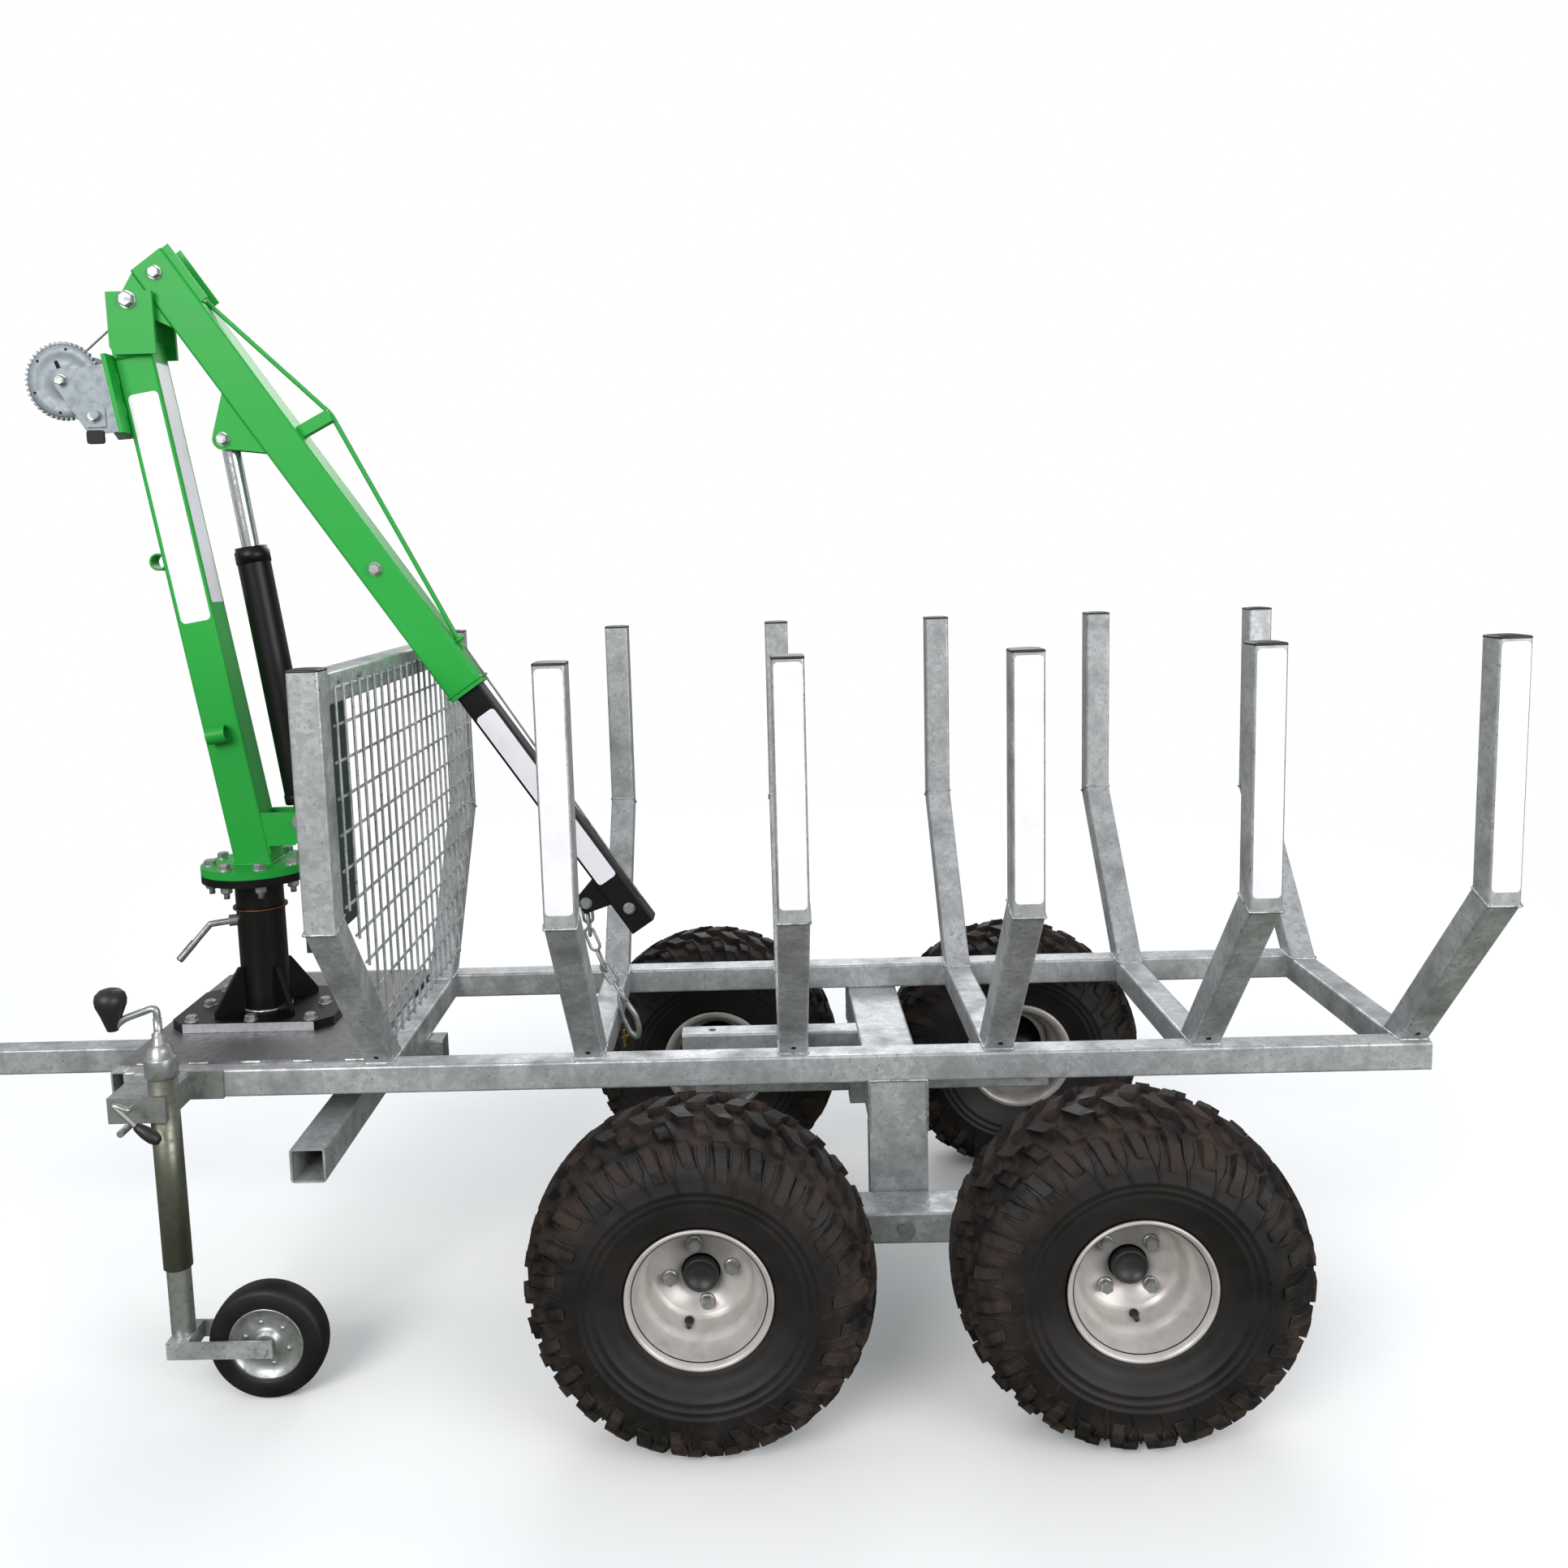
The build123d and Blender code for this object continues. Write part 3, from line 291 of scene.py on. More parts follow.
def rim_silver(colours):
    """Silver stove enamel on pressed steel: soft metallic sheen, grey dust in the well."""
    return surface("silver_enamel", 0.34, 0.25, colours.rim, linear("A59F9A"),
                   (35, 0.45, 0.8, 6.0), ((1.5, 0.3, 0.7), 0.03, 0.3))[0]


def tyre_rubber(colours):
    """Moulded rubber: matt black, with dried mud where the tread attribute is high."""
    material, tree, shader, place = start_material("moulded_rubber", 0.62)
    shader.inputs["Specular IOR Level"].default_value = 0.3
    tread = add(tree, "ShaderNodeAttribute", attribute_name="tread").outputs["Fac"]
    caked = maths(tree, "MULTIPLY", patches(tree, place, 45, 0.40, 0.66, 8.0), tread)
    dust = patches(tree, place, 120, 0.35, 0.8, 6.0)
    mixed = stain(tree, caked, tint(tree, dust, colours.rubber, linear("272424")), colours.mud)
    tree.links.new(mixed, shader.inputs["Base Color"])
    tree.links.new(ranged(tree, caked, to_min=0.5, to_max=0.95), shader.inputs["Roughness"])
    crumbs = put(tree, "ShaderNodeTexNoise", {"Vector": place, "Scale": 1000 / 6, "Detail": 8.0})
    relief(tree, shader, maths(tree, "MULTIPLY", crumbs, caked), 3.0, 0.8)
    return material


def moulded(name, base, roughness):
    """Moulded plastic or vinyl: one colour through, a fine grain and a little grime; also used for
    painted shade in holes and a painted reflection on the mast.
    """
    grimy = [part * 0.86 + 0.02 for part in base]
    return surface(name, roughness, 0, base, grimy,
                   (40, 0.5, 0.9, 6.0), ((1.2, 0.3, 0.7), 0.04, 0.4))[0]


materials = {}


def make_materials(colours):
    materials["galvanised"] = galvanised(colours)
    materials["green"] = powder_coat("green_powder_coat", colours.paint, 0.45)
    materials["black"] = powder_coat("black_paint", linear("050505"), 0.42)
    materials["deck"] = plated("rolled_zinc_deck", "858487", 0.45, "7A7672")
    # painted reflection: a pale metal for the strips that stand in for the sky reflected on the base
    # plate's edges
    materials["edge_reflection"] = plated("painted_edge_reflection", "C9C8CC", 0.45, "B5B3B6")
    materials["zinc"] = plated("bright_zinc_plate", "AFB1B0", 0.34, "82847E", 0.75)
    materials["blue_zinc"] = plated("blue_zinc_plate", "98A1A7", 0.5, "888F94", 0.2)
    materials["yellow"] = plated("olive_zinc_plate", "86887C", 0.38, "6E6E5F")
    materials["chrome"] = plated("hard_chrome", "D5D6D8", 0.12, "B9BABC")
    materials["brass"] = plated("brass", "B89A55", 0.32, "8D7746")
    materials["copper"] = plated("greased_bronze", "7A5238", 0.5, "4E3426")
    materials["weld"] = plated("weld_metal", "C9CBCB", 0.4, "77746E")
    materials["rope"] = plated("steel_rope", "8E8D88", 0.45, "6A665F")
    materials["rim"] = rim_silver(colours)
    materials["rubber"] = tyre_rubber(colours)
    materials["plastic"] = moulded("black_polyethylene", linear("1E1E1F"), 0.45)
    materials["scabbard"] = moulded("dark_green_polypropylene", linear("14342A"), 0.42)
    # white vinyl of the stickers; the same white also paints the sky reflection on the mast's rear face
    materials["vinyl"] = moulded("white_vinyl", colours.sticker, 0.3)
    # painted shade: a near-black matt finish for thin discs and plates that stand in for the shade
    # inside holes
    materials["shadow"] = moulded("painted_hole_shade", linear("0B0B0B"), 0.9)


dressed = {
    "galvanised": (
        "side_rails front_crossmember cross_tubes centre_beams stabiliser_receiver stake_feet "
        "stake_posts headboard_rail headboard_mesh axle_beam axle_legs walking_beams jockey_fork"
    ),
    "green": "mast_flange mast mast_brackets boom_tube boom_brackets",
    "black": "crane_post slew_sleeve ram_barrel boom_extension tip_bracket",
    "deck": "deck_plate",
    "zinc": (
        "bogie_pins coupling_head head_sheave jockey_clamp jockey_inner_tube "
        "slew_lock_lever grab_hook"
    ),
    "blue_zinc": "winch_frame winch_drum",
    "yellow": "jockey_outer_tube",
    "chrome": "ram_rod",
    "plastic": "stake_caps",
    "scabbard": "saw_scabbards",
    "rim": "rim_front_left rim_front_right rim_rear_left rim_rear_right",
    "rubber": "tyre_front_left tyre_front_right tyre_rear_left tyre_rear_right jockey_wheel",
}


# Node trees that repeat a shape or follow a path

def start_tree(name, wanted):
    """A geometry tree with named inputs."""
    tree = bpy.data.node_groups.new(name, "GeometryNodeTree")
    face = tree.interface
    face.new_socket("Geometry", in_out="INPUT", socket_type="NodeSocketGeometry")
    for label, kind in wanted.items():
        face.new_socket(label, in_out="INPUT", socket_type=f"NodeSocket{kind}")
    face.new_socket("Material", in_out="INPUT", socket_type="NodeSocketMaterial")
    face.new_socket("Geometry", in_out="OUTPUT", socket_type="NodeSocketGeometry")
    return tree, add(tree, "NodeGroupInput").outputs


def end_tree(tree, source, geometry):
    """Realize the copies, set their material and close the tree."""
    real = put(tree, "GeometryNodeRealizeInstances", {"Geometry": geometry})
    painted = put(tree, "GeometryNodeSetMaterial", {"Geometry": real, "Material": source["Material"]})
    add(tree, "NodeGroupOutput", {"Geometry": painted})
    return tree


def end_copies(tree, source, position, shape, rotation):
    """Put copies of a shape on as many points as are wanted, and close the tree."""
    points = put(tree, "GeometryNodePoints", {"Count": source["Count"], "Position": position})
    copies = put(tree, "GeometryNodeInstanceOnPoints", {
        "Points": points, "Instance": shape, "Rotation": rotation})
    return end_tree(tree, source, copies)


def round_bars(tree, source, curve, around):
    """A round bar along each curve, with as many faces around as are wanted."""
    ring = put(tree, "GeometryNodeCurvePrimitiveCircle", {
        "Resolution": around, "Radius": source["Radius"]})
    return put(tree, "GeometryNodeCurveToMesh", {
        "Curve": curve, "Profile Curve": ring, "Fill Caps": True})


def end_smooth(tree, source, mesh):
    """Shade a mesh smooth and close the tree."""
    return end_tree(tree, source, put(tree, "GeometryNodeSetShadeSmooth", {"Geometry": mesh}))


def ring_tree():
    """Copies of a shape, evenly round an axis through a centre."""
    tree, source = start_tree("copies_in_a_ring", {
        "Count": "Int", "Centre": "Vector", "Axis": "Vector", "Start": "Float"})
    index = put(tree, "GeometryNodeInputIndex")
    step = maths(tree, "DIVIDE", 2 * pi, source["Count"])
    turn = maths(tree, "MULTIPLY_ADD", index, step, source["Start"])
    spin = vectors(tree, "SCALE", source["Axis"], turn)
    away = vectors(tree, "SCALE", source["Centre"], -1.0)
    shape = put(tree, "GeometryNodeTransform", {"Geometry": source["Geometry"], "Translation": away})
    turned = put(tree, "FunctionNodeEulerToRotation", {"Euler": spin})
    return end_copies(tree, source, source["Centre"], shape, turned)


def bar_tree():
    """Round bars along the edges of a shape."""
    tree, source = start_tree("bars_along_edges", {"Radius": "Float", "Sides": "Int"})
    path = put(tree, "GeometryNodeMeshToCurve", {"Mesh": source["Geometry"]})
    return end_smooth(tree, source, round_bars(tree, source, path, source["Sides"]))


def bead_tree():
    """A rippled weld bead along the edges of a shape."""
    tree, source = start_tree("weld_bead", {"Radius": "Float", "Ripple": "Float"})
    path = put(tree, "GeometryNodeMeshToCurve", {"Mesh": source["Geometry"]})
    fine = put(tree, "GeometryNodeResampleCurve", {"Curve": path, "Length": source["Ripple"]},
               mode="LENGTH")
    bead = round_bars(tree, source, fine, 6)
    cloud = put(tree, "ShaderNodeTexNoise", {"Scale": 260.0, "Detail": 1.0})
    size = maths(tree, "MULTIPLY", maths(tree, "SUBTRACT", cloud, 0.5), source["Radius"])
    push = vectors(tree, "SCALE", put(tree, "GeometryNodeInputNormal"), size)
    return end_smooth(tree, source, put(tree, "GeometryNodeSetPosition", {
        "Geometry": bead, "Offset": push}))


def chain_tree():
    """Links along a straight run, each turned a quarter from the last."""
    tree, source = start_tree("links_on_a_line", {"Count": "Int", "Start": "Vector", "End": "Vector"})
    index = put(tree, "GeometryNodeInputIndex")
    part = maths(tree, "DIVIDE", index, maths(tree, "SUBTRACT", source["Count"], 1.0))
    run = vectors(tree, "SUBTRACT", source["End"], source["Start"])
    place = vectors(tree, "ADD", source["Start"], vectors(tree, "SCALE", run, part))
    aim = put(tree, "FunctionNodeAlignRotationToVector", {"Vector": run}, axis="Z")
    quarter = maths(tree, "MULTIPLY", maths(tree, "MODULO", index, 2.0), pi / 2)
    roll = put(tree, "FunctionNodeAxisAngleToRotation", {"Axis": (0, 0, 1), "Angle": quarter})
    turned = put(tree, "FunctionNodeRotateRotation", {"Rotation": aim, "Rotate By": roll},
                 rotation_space="LOCAL")
    return end_copies(tree, source, place, source["Geometry"], turned)


makers = {"ring": ring_tree, "bars": bar_tree, "bead": bead_tree, "chain": chain_tree}
trees = {}


def grow(tree, mesh, material, **values):
    """The plain mesh that a tree makes from a base mesh."""
    if tree not in trees:
        trees[tree] = makers[tree]()
    group = trees[tree]
    worker = bpy.data.objects.new("worker", mesh)
    bpy.context.scene.collection.objects.link(worker)
    modifier = worker.modifiers.new("nodes", "NODES")
    modifier.node_group = group
    values["Material"] = materials[material]
    for item in group.interface.items_tree:
        if item.in_out == "INPUT" and item.name in values:
            modifier[item.identifier] = values[item.name]
    bpy.context.view_layer.update()
    shown = worker.evaluated_get(bpy.context.evaluated_depsgraph_get())
    made = bpy.data.meshes.new_from_object(shown)
    worker.modifiers.remove(modifier)
    bpy.data.objects.remove(worker)
    return made


# Meshes

def mesh_of(bm, material=None, smooth=False):
    """A mesh from a bmesh, with one material."""
    mesh = bpy.data.meshes.new("mesh")
    bm.to_mesh(mesh)
    bm.free()
    if material:
        mesh.materials.append(materials[material])
    if smooth:
        mesh.polygons.foreach_set("use_smooth", [True] * len(mesh.polygons))
    return mesh


def bridge(bm, one, two):
    """Join two closed rows of corners with faces."""
    for place in range(len(one)):
        after = (place + 1) % len(one)
        bm.faces.new((one[place], one[after], two[after], two[place]))


def edges_mesh(lines):
    """A mesh of edges only, from lists of points; a list that ends where it starts is closed."""
    points = []
    edges = []
    for line in lines:
        closed = (Vector(line[0]) - Vector(line[-1])).length < 1e-6
        used = line[:-1] if closed else line
        first = len(points)
        points += [tuple(point) for point in used]
        edges += [(first + place, first + place + 1) for place in range(len(used) - 1)]
        if closed:
            edges.append((first + len(used) - 1, first))
    mesh = bpy.data.meshes.new("edges")
    mesh.from_pydata(points, edges, [])
    return mesh


def join(meshes):
    """One mesh from several, with their materials kept."""
    bm = bmesh.new()
    slots = []
    for mesh in meshes:
        first = len(bm.faces)
        bm.from_mesh(mesh)
        bm.faces.ensure_lookup_table()
        found = mesh.materials[0]
        if found not in slots:
            slots.append(found)
        for face in bm.faces[first:]:
            face.material_index = slots.index(found)
    made = mesh_of(bm)
    for found in slots:
        made.materials.append(found)
    return made


def piece(name, mesh, body, slot, *replaced):
    """Place a finished mesh as a piece that rides on a body; with no body it is left unattached."""
    if isinstance(mesh, list):
        mesh = join(mesh)
    mesh.name = name
    made = bpy.data.objects.new(name, mesh)
    bpy.context.scene.collection.objects.link(made)
    if body:
        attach(made, body)
    if replaced:
        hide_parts(*replaced)
    return made


def turned_mesh(profile, centre, material, steps=64, side=1, axis="Y"):
    """A closed profile of radius and distance along the axis, turned into a solid."""
    bm = bmesh.new()
    rings = []
    for step in range(steps):
        angle = 2 * pi * step / steps
        ring = []
        for radius, out in profile:
            a = radius * cos(angle)
            b = radius * sin(angle)
            c = side * out
            offset = at(a, c, b) if axis == "Y" else at(a, b, c)
            ring.append(bm.verts.new(Vector(centre) + offset))
        rings.append(ring)
    for step in range(steps):
        bridge(bm, rings[step], rings[(step + 1) % steps])
    bmesh.ops.remove_doubles(bm, verts=bm.verts, dist=1e-6)
    bmesh.ops.dissolve_degenerate(bm, edges=bm.edges, dist=1e-7)
    bmesh.ops.recalc_face_normals(bm, faces=bm.faces)
    return mesh_of(bm, material, True)


def pointing(way):
    """The turn that points the Z axis along a direction."""
    return Vector(way).to_track_quat("Z", "Y").to_matrix().to_4x4()


def hexagon_bolt(centre, across, height, axis, washer=True):
    """A hexagon head with its chamfer, on a washer, pointing along an axis."""
    bm = bmesh.new()
    lift = 1.8 * mm if washer else 0.0
    wide = across / 2 / cos(pi / 6)
    cones = [(6, wide, wide, height * 0.8, lift + height * 0.4),
             (6, wide, wide * 0.84, height * 0.2, lift + height * 0.9)]
    if washer:
        cones.insert(0, (20, across * 0.68, across * 0.66, lift, lift / 2))
    for segments, below, above, depth, middle in cones:
        bmesh.ops.create_cone(bm, cap_ends=True, segments=segments, radius1=below, radius2=above,
                              depth=depth, matrix=Matrix.Translation((0, 0, middle)))
    place = Matrix.Translation(Vector(centre)) @ pointing(Vector(axis).normalized())
    bmesh.ops.transform(bm, matrix=place, verts=bm.verts)
    return mesh_of(bm, "zinc")


def bolts(name, body, centres, across, height, axis=None):
    """Several bolts as one piece; without an axis each head points out to its side."""
    made = []
    for centre in centres:
        way = axis or (0, 1 if centre.y > 0 else -1, 0)
        made.append(hexagon_bolt(centre, across, height, way))
    piece(name, made, body, "bright_zinc")


def round_corners(wide, tall, corner, steps, turn):
    """Points round a rectangle with round corners, each corner with steps of a turn in degrees."""
    outline = []
    for sx, sy, start in ((1, 1, 0), (-1, 1, 90), (-1, -1, 180), (1, -1, 270)):
        for step in range(steps):
            angle = radians(start + step * turn)
            x = sx * (wide / 2 - corner) + corner * cos(angle)
            y = sy * (tall / 2 - corner) + corner * sin(angle)
            outline.append((x, y))
    return outline


def rounded_plate(middle, right, up, wide, tall, corner, thick, material):
    """A thin plate with round corners, on a face given by two directions; sizes in millimetres."""
    right = Vector(right).normalized()
    up = Vector(up).normalized()
    out = right.cross(up)
    bm = bmesh.new()
    lower = []
    for x, y in round_corners(wide * mm, tall * mm, corner * mm, 5, 22.5):
        lower.append(bm.verts.new(Vector(middle) + right * x + up * y))
    upper = [bm.verts.new(vert.co + out * thick * mm) for vert in lower]
    bm.faces.new(upper)
    bm.faces.new(list(reversed(lower)))
    bridge(bm, lower, upper)
    bmesh.ops.recalc_face_normals(bm, faces=bm.faces)
    return mesh_of(bm, material)


def side_plate(middle, side, *rest):
    """A rounded plate that faces out to a side."""
    return rounded_plate(middle, (-side, 0, 0), (0, 0, 1), *rest)


def path_bars(lines, radius, material, around=12):
    """Round bars that follow lists of points, with a radius in millimetres."""
    return grow("bars", edges_mesh(lines), material, Radius=radius * mm, Sides=around)


def weld(name, lines, radius, body="frame", material="weld", slot="galvanised"):
    """Weld beads along lines as one piece."""
    beads = grow("bead", edges_mesh(lines), material, Radius=radius, Ripple=4 * mm)
    piece(name, beads, body, slot)


def circle(radius, steps, point):
    """A closed line round a circle; point gives a place from the two distances, in millimetres."""
    line = []
    for step in range(steps):
        angle = 2 * pi * step / steps
        line.append(point(radius * cos(angle), radius * sin(angle)))
    return line + [line[0]]


def rounded_path(points, radius, steps=5):
    """A path of points whose corners are rounded."""
    points = [Vector(point) for point in points]
    made = [points[0]]
    for before, corner, after in zip(points, points[1:], points[2:]):
        one = corner + (before - corner).normalized() * radius
        two = corner + (after - corner).normalized() * radius
        for step in range(steps + 1):
            part = step / steps
            made.append(one.lerp(corner, part).lerp(corner.lerp(two, part), part))
    made.append(points[-1])
    return made


class TRAILER_OT_materials(bpy.types.Operator):
    """Make the finishes and put them on the model's own solids"""

    bl_idname = "trailer.materials"
    bl_label = "Finishes"

    def execute(self, context):
        make_materials(context.scene.trailer_colours)
        for material, names in dressed.items():
            for name in names.split():
                solid = nodes[name]
                if not solid.material_slots:
                    solid.data.materials.append(materials[material])
                for place in solid.material_slots:
                    place.material = materials[material]
        return {"FINISHED"}


class TRAILER_OT_stage(bpy.types.Operator):
    """Set the floor, the lights and the camera at the photograph's angle"""

    bl_idname = "trailer.stage"
    bl_label = "Stage"

    def execute(self, context):
        scene = context.scene
        scene.view_settings.view_transform = "Standard"
        world = bpy.data.worlds.new("studio")
        scene.world = world
        world.use_nodes = True
        tree = world.node_tree
        tree.nodes.clear()
        ray = add(tree, "ShaderNodeLightPath").outputs
        soft, shine, white = (
            put(tree, "ShaderNodeBackground", {"Color": (*light, 1), "Strength": strength})
            for light, strength in (((0.92, 0.96, 1), 0.62), ((0.96, 0.98, 1), 0.5), ((1, 1, 1), 1)))
        mixed = put(tree, "ShaderNodeMixShader", {0: ray["Is Glossy Ray"], 1: soft, 2: shine})
        mixed = put(tree, "ShaderNodeMixShader", {0: ray["Is Camera Ray"], 1: mixed, 2: white})
        add(tree, "ShaderNodeOutputWorld", {"Surface": mixed})

        bm = bmesh.new()
        bmesh.ops.create_grid(bm, x_segments=8, y_segments=8, size=40)
        floor = bpy.data.objects.new("floor", mesh_of(bm))
        scene.collection.objects.link(floor)
        material, tree, shader, place = start_material("pale_floor", 0.9)
        ray = add(tree, "ShaderNodeLightPath").outputs
        base = tint(tree, ray["Is Camera Ray"], linear("6A6F60"), linear("F7F7F7"))
        tree.links.new(base, shader.inputs["Base Color"])
        shader.inputs["Specular IOR Level"].default_value = 0.05
        away = add(tree, "ShaderNodeVectorMath", {"Vector": place}, operation="LENGTH")
        fade = ranged(tree, away.outputs["Value"], from_min=2.2, from_max=5.0)
        fade = maths(tree, "MULTIPLY", fade, ray["Is Camera Ray"])
        glow = put(tree, "ShaderNodeEmission", {"Color": (1, 1, 1, 1), "Strength": 1.0})
        mixed = put(tree, "ShaderNodeMixShader", {0: fade, 1: shader.outputs[0], 2: glow})
        tree.links.new(mixed, tree.nodes["Material Output"].inputs["Surface"])
        floor.data.materials.append(material)

        for name, spot, power, size in (
            ("key", (-3.0, -6.5, 4.6), 400, 4.0),
            ("fill", (5.0, -5.0, 2.6), 250, 4.0),
            ("back", (0.5, 6.0, 5.5), 240, 4.5),
        ):
            lamp = bpy.data.lights.new(name, "AREA")
            lamp.energy = power
            lamp.size = size
            light = bpy.data.objects.new(name, lamp)
            scene.collection.objects.link(light)
            aim = (Vector((0, 0, 0.7)) - Vector(spot)).to_track_quat("-Z", "Y")
            light.matrix_world = Matrix.Translation(spot) @ aim.to_matrix().to_4x4()

        yaw, pitch, roll = -0.01868, 0.12864, 0.02969
        ahead = Vector((sin(yaw) * cos(pitch), cos(yaw) * cos(pitch), -sin(pitch)))
        right = Vector((cos(yaw), -sin(yaw), 0))
        down = ahead.cross(right)
        level = cos(roll) * right + sin(roll) * down
        lower = -sin(roll) * right + cos(roll) * down
        view = Matrix((level, -lower, -ahead)).transposed().to_4x4()
        lens = bpy.data.cameras.new("camera")
        focal = 1691.9
        frame_side = 1932
        lens.sensor_width = 36
        lens.lens = focal / frame_side * 36
        lens.shift_x = (frame_side / 2 - 902.7) / frame_side
        lens.shift_y = -(frame_side / 2 - 900.5) / frame_side
        camera = bpy.data.objects.new("camera", lens)
        scene.collection.objects.link(camera)
        camera.matrix_world = Matrix.Translation((0.3088, -2.5577, 1.4125)) @ view
        scene.camera = camera
        return {"FINISHED"}


# Tyres. The carcass profile gives the distance from the middle plane and the radius, in millimetres.
carcass = [
    (0, 266), (40, 265), (75, 261), (100, 252), (118, 238), (130, 221), (136, 204),
    (137.5, 190), (139, 187), (139, 184), (137, 182), (136, 176), (137, 174), (136.5, 172),
    (134, 170), (132.5, 162), (133.5, 160), (131, 158), (126, 147), (119, 135), (112, 126),
    (112, 120), (109, 118),
]


def on_carcass(along):
    """The point and outward normal a distance in millimetres over the tyre from its crown."""
    for one, two in zip(carcass, carcass[1:]):
        across, rise = two[0] - one[0], two[1] - one[1]
        length_here = hypot(across, rise)
        if length_here >= along:
            part = along / length_here
            point = (one[0] + part * across, one[1] + part * rise)
            return point, (-rise / length_here, across / length_here)
        along -= length_here
    return carcass[-1], (1, 0)


def lug(bm, layer, centre, side, start, wide, rows, groove):
    """One tread block: rows of distance over the tyre, shifts of its two edges, and height."""
    grid = []
    for along, first, last, height in rows:
        (across, radius), (nx, nr) = on_carcass(along)
        row = []
        one, two = start + first, start + wide + last
        for angle, rise in ((one, -3), (one + 0.6, height), (two - 0.6, height), (two, -3)):
            turn = radians(angle)
            reach = radius + nr * rise
            out = side * (across + nx * rise) * narrow
            vert = bm.verts.new(centre + at(reach * cos(turn), out, reach * sin(turn)))
            vert[layer] = 1.0 if along < 150 else 0.45
            row.append(vert)
        grid.append(row)
    tops = []
    for one, two in zip(grid, grid[1:]):
        for column in range(3):
            quad = bm.faces.new((one[column], one[column + 1], two[column + 1], two[column]))
            if column == 1:
                tops.append(quad)
    bm.faces.new(grid[0])
    bm.faces.new(list(reversed(grid[-1])))
    if groove:
        made = bmesh.ops.inset_region(bm, faces=tops, thickness=6 * mm, use_even_offset=True)
        for vert in {vert for face in tops for vert in face.verts}:
            flat = Vector((vert.co.x - centre.x, 0, vert.co.z - centre.z))
            vert.co -= flat.normalized() * groove * mm
        for face in made["faces"]:
            for vert in face.verts:
                vert[layer] = 1.0


def tread_mesh(centre, count, depth):
    """A long and a short lug with the lugs and ribs beside them, repeated round the tyre."""
    pitch = 360 / count
    wide = pitch * 0.45
    deep = depth / mm
    bm = bmesh.new()
    layer = bm.verts.layers.float.new("tread")
    for side in sides:
        for place, reach in enumerate((160, 144)):
            start = place * pitch + (pitch / 2 if side > 0 else 0)
            lug(bm, layer, centre, side, start, wide, [
                (106, 1.5, 1.5, deep * 0.95),
                (122, 0.5, 0.5, deep * 0.9),
                ((122 + reach) / 2, -0.5, -0.5, deep * 0.7),
                (reach, -1.5, -1.5, deep * 0.4)], 4)
            lug(bm, layer, centre, side, start + pitch / 2, wide, [
                (62, 2.5, 2.5, deep), (80, 1.2, 1.2, deep), (98, 0, 0, deep)], 4)
            lug(bm, layer, centre, side, start + 1, wide, [
                (6, 2.5, 3.5, deep), (30, 1, 1.5, deep), (52, -1.5, -1, deep)], 0)
            for lean, foot in ((0.4, 2.4), (pitch - wide - 2.2, pitch - wide - 3.8)):
                lug(bm, layer, centre, side, start + wide, 0, [
                    (112, lean + 1, lean + 2.8, 5.0),
                    (138, lean + 0.2, lean + 2.0, 4.5),
                    (160, foot - 0.8, foot + 1.0, 3.2),
                    (182, foot - 2.6, foot - 0.8, 2.2)], 0)
    bmesh.ops.recalc_face_normals(bm, faces=bm.faces)
    base = mesh_of(bm, "rubber")
    return grow("ring", base, "rubber", Count=count // 2, Centre=centre, Axis=(0, 1, 0))


def carcass_mesh(centre):
    """The tyre's body with its inner wall, and the tread attribute that holds the mud."""
    outer = [(radius, out) for out, radius in carcass]
    left = [(radius, -out) for radius, out in reversed(outer[1:])]
    inner = [(104, 104), (132, 100), (190, 126), (235, 112), (250, 60)]
    back = [(radius, -out) for radius, out in reversed(inner)]
    profile = left + outer + inner + back
    mesh = turned_mesh(profile, centre, "rubber", 96, narrow)
    layer = mesh.attributes.new("tread", "FLOAT", "POINT")
    for vert in mesh.vertices:
        reach = hypot(vert.co.x - centre[0], vert.co.z - centre[2]) / mm
        layer.data[vert.index].value = min(1.0, max(0.12, (reach - 195) / 40))
    return mesh


class TRAILER_OT_tyres(bpy.types.Operator):
    """Build the four tyres with their lugs"""

    bl_idname = "trailer.tyres"
    bl_label = "Tyres"

    def execute(self, context):
        sizes = context.scene.trailer_sizes
        for key, centre in wheel_places.items():
            tread = tread_mesh(centre, sizes.lug_count, sizes.lug_depth)
            piece(f"tyre_dressed_{key}", [carcass_mesh(centre), tread], f"wheel_{key}", "tyre_rubber",
                  f"tyre_{key}")
        return {"FINISHED"}


rim_outside = [
    (115.5, 111.5), (113, 113), (110, 111.5), (106.5, 107), (103, 97), (100, 86), (97, 76), (93, 71),
    (88, 67), (85, 61), (84, 52), (81, 44), (78, 40), (74, 38), (72, 36), (31, 36),
    (31, 32), (72, 32), (76, 33), (80, 37), (84, 43), (87, 52), (88, 59), (91, 63),
    (96, 67), (100, 73), (103, 85), (106, 96), (109, 104), (112, 108.5), (115.5, 109),
]
rim_inside = [
    (88, 60), (87, -52), (90, -60), (98, -70), (101.4, -85), (104, -100), (112, -109), (118, -109),
    (118, -112), (110, -112.5), (101, -104), (97, -86), (94, -72), (87, -63), (84, -54), (84.5, 50),
]


def rim_out(out):
    """A rim profile's distance out, drawn for a rim 224 mm wide, on the model's rim."""
    if out < 0:
        return out * rim_half / 112
    return disc_out + (out - 36) * (rim_half - disc_out) / 76


